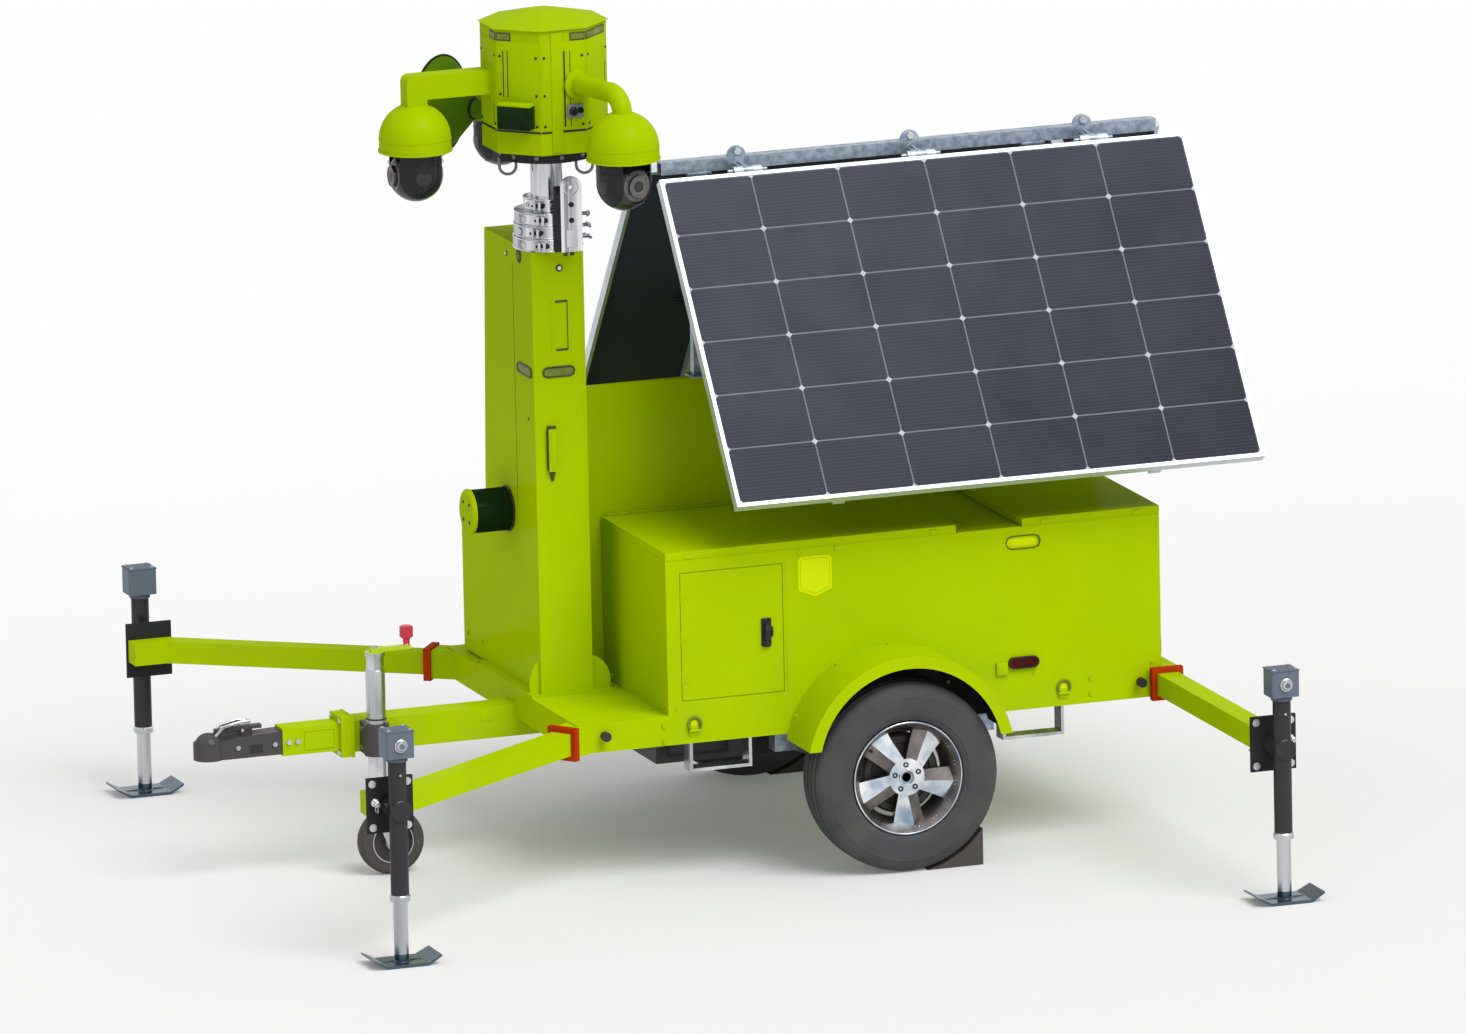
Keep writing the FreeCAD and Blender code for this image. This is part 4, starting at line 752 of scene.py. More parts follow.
def add_piece(name, shape, body, slot, *materials):
    """Turns a shape into a piece with its materials, smooth but for its sharp edges."""
    mesh = bpy.data.meshes.new(name)
    shape.mesh.to_mesh(mesh)
    shape.mesh.free()
    for material in materials:
        mesh.materials.append(material)
    mesh.set_sharp_from_angle(angle=math.radians(32))
    return settle(bpy.data.objects.new(name, mesh), body)


def side_place(side):
    """Pieces are drawn for the left side, and mirrored for the right."""
    return Matrix.Diagonal((1, side, 1, 1))


def outward(degrees, first=FORWARD, second=LEFTWARD):
    """A direction in the plane of first and second, turned from first towards second."""
    turn = math.radians(degrees)
    return first * math.cos(turn) + second * math.sin(turn)


def new_tree(name, **inputs):
    """An empty Geometry Nodes tree, and its named inputs as values."""
    group = bpy.data.node_groups.new(name, "GeometryNodeTree")
    group.interface.new_socket("Geometry", in_out="INPUT", socket_type="NodeSocketGeometry")
    for label, kind in inputs.items():
        group.interface.new_socket(label, in_out="INPUT", socket_type="NodeSocket" + kind)
    group.interface.new_socket("Geometry", in_out="OUTPUT", socket_type="NodeSocketGeometry")
    tree = Nodes(group)
    sockets = tree.node("NodeGroupInput").socket.node.outputs
    return tree, {label: Value(tree, sockets[label]) for label in ("Geometry", *inputs)}


def end_tree(tree, instances, material):
    """Makes the copies real, gives them their material and returns the finished tree."""
    real = tree.node("GeometryNodeRealizeInstances", None, {"Geometry": instances})
    dressed = tree.node("GeometryNodeSetMaterial", None, {"Geometry": real, "Material": material})
    tree.node("NodeGroupOutput", None, [dressed])
    return tree.tree


def fastener_tree():
    """A hex head on a washer at every point, turned along the point's facing and scaled by its size."""
    tree, given = new_tree("hex_fasteners", head_radius="Float", head_height="Float", washer_radius="Float",
                           washer_height="Float", material="Material")
    forms = []
    for vertices, part in ((6, "head"), (16, "washer")):
        height = given[part + "_height"]
        form = tree.node("GeometryNodeMeshCylinder", {"fill_type": "NGON"},
                         {"Vertices": vertices, "Radius": given[part + "_radius"], "Depth": height})
        lift = tree.node("ShaderNodeCombineXYZ", None, {"Z": height * 0.5})
        forms.append(tree.node("GeometryNodeTransform", None, {"Geometry": form, "Translation": lift}))
    joined = tree.node("GeometryNodeJoinGeometry", None, forms[:1])
    tree.feed(joined.socket.node.inputs[0], forms[1])
    facing = tree.node("GeometryNodeInputNamedAttribute", {"data_type": "FLOAT_VECTOR"}, {"Name": "facing"})
    size = tree.node("GeometryNodeInputNamedAttribute", {"data_type": "FLOAT"}, {"Name": "size"})
    turn = tree.node("FunctionNodeAlignRotationToVector", {"axis": "Z"}, {"Vector": facing})
    spread = tree.node("GeometryNodeInstanceOnPoints", None, {
        "Points": given["Geometry"], "Instance": joined, "Rotation": turn, "Scale": size})
    return end_tree(tree, spread, given["material"])


def slat_tree():
    """A row of flat slats: count copies, one step apart from the start."""
    tree, given = new_tree("slat_row", start="Vector", step="Vector", count="Int", slat_size="Vector",
                           material="Material")
    line = tree.node("GeometryNodeMeshLine", {"mode": "OFFSET"}, {
        "Count": given["count"], "Start Location": given["start"], "Offset": given["step"]})
    slat = tree.node("GeometryNodeMeshCube", None, {"Size": given["slat_size"]})
    spread = tree.node("GeometryNodeInstanceOnPoints", None, {"Points": line, "Instance": slat})
    return end_tree(tree, spread, given["material"])


def knuckle_tree():
    """Hinge knuckles along X: round barrels with a gap between them."""
    tree, given = new_tree("hinge_knuckles", start="Vector", pitch="Float", count="Int",
                           barrel_radius="Float", barrel_length="Float", material="Material")
    step = tree.node("ShaderNodeCombineXYZ", None, {"X": given["pitch"]})
    line = tree.node("GeometryNodeMeshLine", {"mode": "OFFSET"}, {
        "Count": given["count"], "Start Location": given["start"], "Offset": step})
    barrel = tree.node("GeometryNodeMeshCylinder", {"fill_type": "NGON"}, {
        "Vertices": 12, "Radius": given["barrel_radius"], "Depth": given["barrel_length"]})
    quarter = (0, math.radians(90), 0)
    laid = tree.node("GeometryNodeTransform", None, {"Geometry": barrel, "Rotation": quarter})
    spread = tree.node("GeometryNodeInstanceOnPoints", None, {"Points": line, "Instance": laid})
    return end_tree(tree, spread, given["material"])


def grow(name, mesh, tree, inputs):
    """Runs a tree on a mesh and returns the plain mesh that it makes."""
    holder = bpy.data.objects.new(name + "_seed", mesh)
    bpy.context.scene.collection.objects.link(holder)
    modifier = holder.modifiers.new("grow", "NODES")
    modifier.node_group = tree
    for item in tree.interface.items_tree:
        if item.in_out == "INPUT" and item.name in inputs:
            modifier[item.identifier] = inputs[item.name]
    shaped = holder.evaluated_get(bpy.context.evaluated_depsgraph_get())
    result = bpy.data.meshes.new_from_object(shaped)
    result.name = name
    bpy.data.objects.remove(holder)
    return result


FASTENER_TREE = fastener_tree()
SLAT_TREE = slat_tree()
KNUCKLE_TREE = knuckle_tree()


def add_fasteners(name, rows, body, material):
    """Rows of (place, facing, size), where size 1 is a 12 mm bolt."""
    mesh = bpy.data.meshes.new(name + "_points")
    mesh.from_pydata([Vector(place) for place, facing, size in rows], [], [])
    mesh.attributes.new("facing", "FLOAT_VECTOR", "POINT")
    mesh.attributes.new("size", "FLOAT", "POINT")
    for index, (place, direction, size) in enumerate(rows):
        mesh.attributes["facing"].data[index].vector = Vector(direction)
        mesh.attributes["size"].data[index].value = size
    result = grow(name, mesh, FASTENER_TREE, {
        "head_radius": 0.0105, "head_height": 0.0075, "washer_radius": 0.0125, "washer_height": 0.002,
        "material": material})
    settle(bpy.data.objects.new(name, result), body)


def add_row(name, tree, inputs, body):
    """A piece that a tree makes from its inputs alone."""
    seed = bpy.data.meshes.new(name + "_seed")
    seed.from_pydata([(0, 0, 0)], [], [])
    settle(bpy.data.objects.new(name, grow(name, seed, tree, inputs)), body)


def both_sides(rows):
    """The same fasteners on the left and on the right."""
    flipped = [((p[0], -p[1], p[2]), (f[0], -f[1], f[2]), size) for p, f, size in rows]
    return list(rows) + flipped


def about_mast(degrees):
    """Pieces are drawn in front of the mast, and turned about its axis."""
    centre = Vector((MAST_X, MAST_Y, 0))
    turn = Matrix.Rotation(math.radians(degrees), 4, UP)
    return Matrix.Translation(centre) @ turn @ Matrix.Translation(-centre)


# Wheels

def add_wheels():
    """Detailed tyres and rims in place of the plain solids."""
    for side_name, side in SIDES:
        middle = side_place(side) @ Matrix.Translation((WHEEL_X, WHEEL_Y, TYRE_R))
        add_tyre(side_name, middle)
        add_rim(side_name, middle)


def add_tyre(side_name, middle):
    """Tyre with ribs on its walls and four grooves in its tread."""
    # Half of the outside from bead to middle, and of the inside from middle to bead: (across, radius)
    outer = [(0.056, 0.1690), (0.0625, 0.1700), (0.0645, 0.1822), (0.0700, 0.1838), (0.0775, 0.1885),
             (0.0815, 0.1960), (0.0840, 0.2020), (0.0858, 0.2030), (0.0866, 0.2070), (0.0878, 0.2200),
             (0.0886, 0.2350), (0.0880, 0.2520), (0.0866, 0.2600), (0.0870, 0.2625), (0.0850, 0.2655),
             (0.0815, 0.2790), (0.0735, 0.2930), (0.0655, 0.2990), (0.0520, 0.3012), (0.0500, 0.2950),
             (0.0440, 0.2950), (0.0420, 0.3022), (0.0200, 0.3032), (0.0180, 0.2960), (0.0110, 0.2960),
             (0.0090, 0.3034)]
    inner = [(0.0000, 0.2930), (0.0500, 0.2880), (0.0800, 0.2350), (0.0700, 0.1850), (0.0560, 0.1700)]
    outside = [(-across, radius) for across, radius in outer] + outer[::-1]
    inside = inner[::-1] + [(-across, radius) for across, radius in inner[1:]]
    tyre = Shape(middle)
    tyre.lathe(outside + inside + outside[:1], (0, 0, 0), LEFTWARD, 0, 96)
    piece = add_piece("tyre_tread_" + side_name, tyre, "wheel_" + side_name, "tyre_rubber",
                      FINISHES["tyre_rubber"])
    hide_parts("tyre_" + side_name)


def add_rim(side_name, middle):
    """Barrel, lip, five broad spokes, wheel bolts, hub cap, valve and brake drum."""
    face = RIM_FACE
    rim = Shape(middle)
    barrel = [(-0.075, 0.1798), (-0.070, 0.1798), (-0.064, 0.1668), (-0.030, 0.1668), (-0.020, 0.1450),
              (0.020, 0.1450), (0.030, 0.1668), (0.064, 0.1668), (0.070, 0.1798), (0.0742, 0.1798),
              (0.0750, 0.1790), (0.0740, 0.1750), (0.060, 0.1620), (0.020, 0.1400), (-0.020, 0.1400),
              (-0.052, 0.1620), (-0.075, 0.1750), (-0.075, 0.1798)]
    lip = [(0.0605, 0.1625), (0.0740, 0.1752), (0.0752, 0.1795), (0.0725, 0.1808), (0.0700, 0.1790),
           (0.0605, 0.1668), (0.0605, 0.1625)]
    drum = [(-0.070, 0.021), (-0.070, 0.127), (-0.004, 0.127), (0.004, 0.120), (0.005, 0.100),
            (0.001, 0.096), (0.001, 0.021), (-0.070, 0.021)]
    bolt_seat = [(0.0, 0.0), (0.0, 0.0085), (0.0022, 0.0090), (0.0030, 0.0080), (0.0006, 0.0072),
                 (0.0004, 0.0)]
    hub = [(0.004, 0.022), (0.004, 0.056), (face - 0.006, 0.0605), (face - 0.001, 0.0590),
           (face, 0.0560), (face, 0.0280), (face + 0.004, 0.0262), (face + 0.004, 0.0225),
           (face - 0.003, 0.0205), (0.004, 0.0205), (0.004, 0.022)]
    hub_cap = [(face - 0.030, 0.0), (face - 0.030, 0.0203), (face - 0.005, 0.0203), (face - 0.004, 0.015),
               (face - 0.004, 0.0)]
    # The barrel takes the darker copy of the alloy, as painted shade
    rim.lathe(barrel, (0, 0, 0), LEFTWARD, 1, 80)
    rim.lathe(lip, (0, 0, 0), LEFTWARD, 0, 96)
    rim.lathe(drum, (0, 0, 0), LEFTWARD, 2, 48)
    rim.hoop((0, 0.0738, 0), LEFTWARD, 0.1786, 0.0027, 0, 96)
    for degrees in range(40, 400, 72):
        add_spoke(rim, Matrix.Rotation(math.radians(degrees), 4, LEFTWARD))
        seat = Matrix.Rotation(math.radians(degrees + 36), 4, LEFTWARD) @ Vector((0, face - 0.0005, 0.041))
        rim.lathe(bolt_seat, seat, LEFTWARD, 3, 16)
    rim.lathe(hub, (0, 0, 0), LEFTWARD, 0, 48)
    rim.lathe(hub_cap, (0, 0, 0), LEFTWARD, 3, 24)
    rim.rod((0.118, face - 0.030, 0.096), (0.113, face - 0.006, 0.090), 0.0045, 3, 10)
    piece = add_piece("rim_turbine_" + side_name, rim, "wheel_" + side_name, "polished_alloy",
                      WHEEL_METAL, SHADE_METAL, DRUM_METAL, BLACK_PAINT)
    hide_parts("rim_" + side_name)


def add_spoke(rim, turn):
    """A broad spoke of two facets that meet in a slanting ridge. Only one front facet takes the bright alloy;
    the other, the sides and the back take a darker copy as painted shade.
    """
    # Distance from the axle, places of the left edge, ridge and right edge, and how far each stands out
    rows = ((0.048, -0.031, -0.004, 0.031, 0.0, 0.003, -0.004),
            (0.110, -0.042, 0.006, 0.044, -0.016, 0.0, -0.020),
            (0.1715, -0.056, 0.014, 0.058, -0.020, -0.004, -0.026))
    front = RIM_FACE - 0.003
    back = RIM_FACE - 0.020
    points = []
    for radius, left, ridge, right, low_left, high, low_right in rows:
        for across, lift in ((left, low_left), (ridge, high), (right, low_right)):
            points.append(turn @ Vector((across, front + lift, radius)))
        for across, lift in ((right, low_right), (left, low_left)):
            points.append(turn @ Vector((across, back + lift, radius)))
    polygons = [(4, 3, 2, 1, 0), (10, 11, 12, 13, 14)]
    materials = [1, 1]
    for row in (0, 5):
        for index in range(5):
            ahead = (index + 1) % 5
            polygons.append((row + index, row + ahead, row + 5 + ahead, row + 5 + index))
            materials.append(0 if index == 0 else 1)
    rim.faces(points, polygons, materials)


# Outriggers and jacks

def add_outriggers():
    """Fastenings of the four arms, and the small pieces of their jacks and feet."""
    for side_name, side in SIDES:
        for end, x, y, inward in (("front", *FRONT_JACK, -1), ("rear", *REAR_JACK, 1)):
            name = end + "_" + side_name
            add_arm_pieces(name, side, x, y, x - inward * 0.052, "%s_outrigger_%s" % (end, side_name))
            add_jack(side_place(side), x, y, "%s_jack_%s" % (end, side_name))
            add_foot(name, side_place(side), x, y, "%s_foot_%s" % (end, side_name))


def add_arm_pieces(name, side, x, y, pin_x, body):
    """Bolts of the end plate, its index pin with a ring, and the welds behind it."""
    plate = y - PLATE_BACK + PLATE_THICK
    rows = []
    for dx in (-0.057, 0.057):
        for dz in (-0.069, 0.069):
            rows.append(((x + dx, side * plate, ARM_Z + dz), LEFTWARD * side, 1.0))
    add_fasteners("plate_bolts_" + name, rows, body, ZINC_METAL)
    pin = Shape(side_place(side))
    pin.lathe([(0, 0), (0, 0.013), (0.012, 0.013), (0.014, 0.0105), (0.021, 0.0105), (0.023, 0.006),
               (0.028, 0.006), (0.030, 0.010), (0.038, 0.010), (0.040, 0.007), (0.040, 0)],
              (pin_x, plate, ARM_Z + 0.012), LEFTWARD, 0, 20)
    pin.hoop((pin_x, plate + 0.0255, ARM_Z - 0.004), FORWARD, 0.013, 0.0016, 0, 20, 6)
    back = y - PLATE_BACK
    for z in (ARM_Z - 0.030, ARM_Z + 0.030):
        pin.block((x - 0.060, back - 0.052, z - 0.003), (x + 0.060, back - 0.001, z + 0.003), 0.001, 1)
    add_piece("index_pin_" + name, pin, body, "zinc_plate", ZINC_METAL, LIME_PAINT)


def add_jack(place, x, y, body):
    """Crank shaft end, cap, screws and rings on one jack."""
    gear_z = 0.696
    jack = Shape(place)
    jack.block((x - 0.047, y - 0.043, 0.7365), (x + 0.047, y + 0.043, 0.741), 0.003, 1)
    jack.lathe([(0, 0), (0, 0.021), (0.004, 0.021), (0.006, 0.017), (0.012, 0.016), (0.0155, 0.013),
                (0.0155, 0)], (x, y + 0.042, gear_z), LEFTWARD, 0, 24)
    jack.rod((x - 0.012, y + 0.0545, gear_z), (x + 0.012, y + 0.0545, gear_z), 0.003, 2, 10)
    jack.lathe([(0, 0.0287), (0, 0.0335), (0.010, 0.0335), (0.014, 0.0287), (0, 0.0287)],
               (x, y, 0.641), UP, 1, 32)
    jack.lathe([(0, 0.0232), (0, 0.0312), (0.004, 0.0322), (0.016, 0.0322), (0.020, 0.0287), (0.020, 0.0232),
                (0, 0.0232)], (x, y, 0.1985), UP, 0, 32)
    jack.lathe([(0, 0), (0, 0.032), (0.003, 0.034), (0.009, 0.034), (0.012, 0.030), (0.012, 0)],
               (x, y + 0.0235, ARM_Z), LEFTWARD, 2, 28)
    jack.rod((x, y + 0.0275, 0.600), (x, y + 0.0345, 0.600), 0.004, 0, 8)
    add_piece("jack_gear_" + body, jack, body, "zinc_plate", ZINC_METAL, SLATE_PAINT, BLACK_PAINT)
    rows = []
    for dy in (-0.030, 0.030):
        for dx in (-0.034, 0.034):
            rows.append((place @ Vector((x + dx, y + dy, 0.741)), UP, 0.5))
    add_fasteners("cap_screws_" + body, rows, body, ZINC_METAL)


def add_foot(name, place, x, y, body):
    """Weld collar, ribs and rolled edges of one foot, low enough to draw up under the jack tube."""
    plate_top = 0.0098
    foot = Shape(place)
    foot.lathe([(0, 0.0222), (0, 0.030), (0.0012, 0.0295), (0.0036, 0.0245), (0.0038, 0.0222), (0, 0.0222)],
               (x, y, plate_top), UP, 0, 28)
    for along in (FORWARD, -FORWARD):
        near = Vector((x, y - 0.003, plate_top)) + along * 0.022
        far = near + along * 0.040
        foot.slab([near, far, far + UP * 0.0015, near + UP * 0.0036], (0, 0.006, 0), 0.0003, 0)
    for edge in (x - 0.1085, x + 0.1085):
        foot.rod((edge, y - 0.064, 0.0295), (edge, y + 0.064, 0.0295), 0.0015, 0, 8)
    add_piece("foot_weld_" + name, foot, body, "zinc_plate", FOOT_STEEL)


# Deck, cabinets and lamps

def add_deck_pieces():
    """What sits on the deck's edge and on the cabinets, on each side."""
    for side_name, side in SIDES:
        place = side_place(side)
        add_tie_rings(side_name, place)
        add_blank_shield(side_name, place)
        add_cabinet_trim(side_name, place)
        add_tail_lamp_frame(side_name, place)
        add_row("rear_louvres_" + side_name, SLAT_TREE, {
            "start": (-1.3588, side * 0.32, 0.800), "step": (0.0, 0.0, 0.016), "count": 9,
            "slat_size": (0.0060, 0.260, 0.0022), "material": LIME_PAINT}, "trailer")
        add_door_pieces(side_name, place)
        add_lid_pieces(side_name, side)
    add_deck_bolts()


def add_tie_rings(side_name, place):
    """A bow in its clip over a round plug, at each end of the deck's edge. The bow's olive is painted shade
    and the plug's brighter lime is painted highlight.
    """
    ring = Shape(place)
    for x in (0.209, -1.026):
        bow = arc((x, DECK_HALF + 0.006, 0.502), (0.0205, 0, 0), (0, 0, 0.0225), -55, 235, 20)
        ring.bent_rod(bow, 0.0042, 0, 8)
        ring.block((x - 0.017, DECK_HALF, 0.466), (x + 0.017, DECK_HALF + 0.0035, 0.498), 0.0012, 1)
        ring.rod((x - 0.0185, DECK_HALF + 0.0065, 0.4835), (x + 0.0185, DECK_HALF + 0.0065, 0.4835),
                 0.0052, 1)
        plug = arc((x, DECK_HALF, 0.504), (0.0125, 0, 0), (0, 0, 0.0135), 0, 330, 11)
        ring.slab(plug, (0, 0.0022, 0), 0.0005, 2)
    add_piece("tie_rings_" + side_name, ring, "trailer", "lime_paint", OLIVE_PLASTIC, LIME_PAINT,
              BRIGHT_PAINT)


def add_blank_shield(side_name, place):
    """A blank plate with a beaded edge and a pointed foot."""
    badge = Shape(place)
    left, right, low, shoulder, high, corner = -0.258, -0.146, 0.872, 0.895, 1.004, 0.010
    middle = (left + right) / 2
    thick = 0.0022
    outline = [(left, DECK_HALF, shoulder), (middle, DECK_HALF, low), (right, DECK_HALF, shoulder),
               (right, DECK_HALF, high - corner), (right - corner, DECK_HALF, high),
               (left + corner, DECK_HALF, high), (left, DECK_HALF, high - corner)]
    badge.slab(outline, (0, thick, 0), 0.0008, 0)
    centre = Vector((middle, DECK_HALF, 0.945))
    bead = [centre + (Vector(point) - centre) * 0.86 + LEFTWARD * thick for point in outline]
    badge.bent_rod(bead, 0.0009, 1, 6, closed=True)
    add_piece("blank_shield_" + side_name, badge, "trailer", "lime_paint", BRIGHT_PAINT, LIME_PAINT)


def add_cabinet_trim(side_name, place):
    """Clips, the side lamp's rim, the edge of the grip slot with its back plate, and the wall's seam."""
    trim = Shape(place)
    for x in (-0.150, -0.273):
        trim.block((x - 0.006, DECK_HALF, 1.012), (x + 0.006, DECK_HALF + 0.004, 1.0292), 0.001, 0)
    trim.block((-0.838, DECK_HALF, 0.560), (-0.800, DECK_HALF + 0.010, 0.602), 0.003, 0)
    lamp = stadium((-0.892, DECK_HALF + 0.0115, 0.596), FORWARD, UP, 0.098, 0.034)
    trim.bent_rod(lamp, 0.0022, 1, 6, closed=True)
    x, z = GRIP_SLOT
    slot = stadium((x, DECK_HALF + 0.0004, z), FORWARD, UP, 0.116, 0.042, 4)
    trim.bent_rod(slot, 0.0018, 2, 6, closed=True)
    trim.block((-0.106, DECK_HALF, 0.5775), (-0.103, DECK_HALF + 0.001, 0.9905), 0.0004, 0)
    trim.block((x - 0.063, DECK_HALF - 0.0085, z - 0.026), (x + 0.063, DECK_HALF - 0.0065, z + 0.026),
               0.0006, 3)
    add_piece("cabinet_trim_" + side_name, trim, "trailer", "lime_paint", LIME_PAINT, BLACK_PAINT,
              DARK_OLIVE, BRIGHT_PAINT)


def add_tail_lamp_frame(side_name, place):
    """Two lenses in a black frame on the rear wall."""
    left, right, low, high = 0.437, 0.583, 0.563, 0.629
    bar = 0.003
    tail = Shape(place)
    for near, far in ((0.442, 0.508), (0.512, 0.578)):
        tail.block((-1.3745, near, 0.569), (-1.3705, far, 0.623), 0.002, 1)
    for near, far, bottom, top in ((left, right, low, low + bar), (left, right, high - bar, high),
                                   (left, left + bar, low, high), (right - bar, right, low, high)):
        tail.block((-1.3715, near, bottom), (-1.3565, far, top), 0.001, 0)
    add_piece("tail_lamp_frame_" + side_name, tail, "trailer", "black_paint", BLACK_PAINT, RED_LENS)


def add_deck_bolts():
    """Bolts along the rails, round the arches and under the cabinets' edges."""
    rows = []
    for x, z in ((0.309, 0.507), (0.309, 0.458), (-1.118, 0.522), (-1.118, 0.473)):
        rows.append(((x, DECK_HALF, z), LEFTWARD, 0.72))
    for degrees in (25, 60, 90, 120, 155):
        out = outward(degrees, FORWARD, UP)
        rows.append((Vector((WHEEL_X, DECK_HALF + 0.020, FENDER_Z)) + out * FENDER_R, out, 0.6))
    for x in (0.265, -0.415, -0.640, -0.930, -1.325):
        rows.append(((x, DECK_HALF, 0.556), LEFTWARD, 0.5))
    for y in (0.10, 0.34, 0.58):
        rows.append(((0.293, y, 0.560), FORWARD, 0.6))
        rows.append(((-1.357, y, 0.656), -FORWARD, 0.6))
    add_fasteners("deck_bolts", both_sides(rows), "trailer", LIME_PAINT)


def add_door_pieces(side_name, place):
    """Hinges, latch plate screws and handle of the side door."""
    door = Shape(place)
    for z in (0.655, 0.784, 0.913):
        door.rod((0.245, DECK_HALF, z - 0.022), (0.245, DECK_HALF, z + 0.022), 0.0026, 0, 12)
        door.block((0.222, DECK_HALF, z - 0.020), (0.2442, DECK_HALF + 0.0012, z + 0.020), 0.0004, 0)
    door.lathe([(0, 0), (0, 0.0105), (0.003, 0.0105), (0.004, 0.009), (0.004, 0)],
               (-0.036, DECK_HALF + 0.0198, 0.789), LEFTWARD, 1, 20)
    door.block((-0.0475, DECK_HALF + 0.005, 0.728), (-0.0245, DECK_HALF + 0.013, 0.752), 0.003, 1)
    door.block((-0.058, DECK_HALF + 0.0002, 0.760), (-0.0515, DECK_HALF + 0.009, 0.792), 0.002, 1)
    add_piece("door_furniture_" + side_name, door, "door_" + side_name, "black_paint", LIME_PAINT,
              BLACK_PAINT)


def add_lid_pieces(side_name, side):
    """Piano hinge along the spine and a lift lip on each lid."""
    pitch = 0.040
    for part, start, end in (("front", -0.660, 0.280), ("rear", -1.340, -0.910)):
        body = "lid_%s_%s" % (part, side_name)
        add_row("lid_hinge_%s_%s" % (part, side_name), KNUCKLE_TREE, {
            "start": (start, side * 0.0255, 1.0600), "pitch": pitch, "count": int((end - start) / pitch) + 1,
            "barrel_radius": 0.0035, "barrel_length": 0.036, "material": LIME_PAINT}, body)
        lip = Shape(side_place(side))
        face = DECK_HALF
        lip.block((start + 0.004, face - 0.0008, 1.0306), (end + 0.006, face + 0.0012, 1.0350), 0.0006, 0)
        for x in (start + 0.06, end - 0.06):
            lip.block((x - 0.012, face - 0.001, 1.0330), (x + 0.012, face + 0.0035, 1.0490), 0.001, 0)
        add_piece("lid_lip_%s_%s" % (part, side_name), lip, body, "lime_paint", LIME_PAINT)


# Ridge, panels, column and mast

def add_ridge_pieces():
    """Bolts of the hinge lugs on both sides of the ridge, and the saddles of its posts."""
    ridge = Shape()
    for x in RIDGE_LUGS:
        for side in (-1, 1):
            ridge.lathe([(0, 0), (0, 0.013), (0.007, 0.013), (0.008, 0.012), (0.008, 0)],
                        (x, side * 0.0085, 2.184), LEFTWARD * side, 1, 6)
            for end in (1, -1):
                ridge.rod((x - end * 0.0155, side * HINGE_Y, HINGE_Z),
                          (x - end * 0.0230, side * HINGE_Y, HINGE_Z), 0.0095, 1, 6)
            ridge.rod((x, side * 0.024, 2.1525), (x, side * 0.060, 2.1485), 0.004, 0, 8)
    for x in (-0.060, -1.180):
        ridge.block((x - 0.045, -0.035, 1.4735), (x + 0.045, 0.035, 1.4795), 0.001, 0)
        for dx in (-0.0375, 0.0375):
            for y in (0.022, -0.022):
                ridge.stud((x + dx, y, 1.4795), UP, 0.006, 0.005, 1)
        ridge.block((x - 0.040, -0.024, 2.122), (x + 0.040, 0.024, 2.130), 0.001, 0)
    add_piece("ridge_bolts", ridge, "trailer", "zinc_plate", STEEL, ZINC_METAL)


def add_panel_pieces():
    """Junction boxes with their leads, and frame corner keys under each module."""
    tilt = Matrix.Translation((0, HINGE_Y, HINGE_Z)) @ Matrix.Rotation(-PANEL_TILT, 4, FORWARD)
    middle = PANEL_FRONT - PANEL_LENGTH / 2
    under = GLASS_UNDER - 0.0004
    # A lead from an outer box: (from the middle along the panel, across, height)
    lead = ((0.39, 0.570, under - 0.007), (0.45, 0.572, under - 0.006), (0.52, 0.640, under - 0.006),
            (0.58, 0.650, under - 0.006))
    for side_name, side in SIDES:
        back = Shape(side_place(side) @ tilt)
        for x in (middle - 0.36, middle, middle + 0.36):
            back.block((x - 0.032, 0.552, under - 0.018), (x + 0.032, 0.604, under), 0.002, 1)
        for end in (-1, 1):
            back.bent_rod([(middle + end * along, across, z) for along, across, z in lead], 0.003, 1)
        for x in (middle - 0.600, middle + 0.600):
            back.rod((x - 0.025, 0.650, under - 0.007), (x + 0.025, 0.650, under - 0.007), 0.007, 1, 12)
        for x in (PANEL_FRONT - 0.0125, PANEL_FRONT - PANEL_LENGTH + 0.0125):
            for y in (PANEL_START + 0.014, PANEL_START + PANEL_WIDTH - 0.014):
                back.lathe([(0, 0), (0, 0.0042), (0.0016, 0.0036), (0.0018, 0)], (x, y, 0.0175), UP, 0, 12)
        add_piece("module_wiring_" + side_name, back, "panel_" + side_name, "hard_rubber", ZINC_METAL,
                  DARK_PLASTIC)


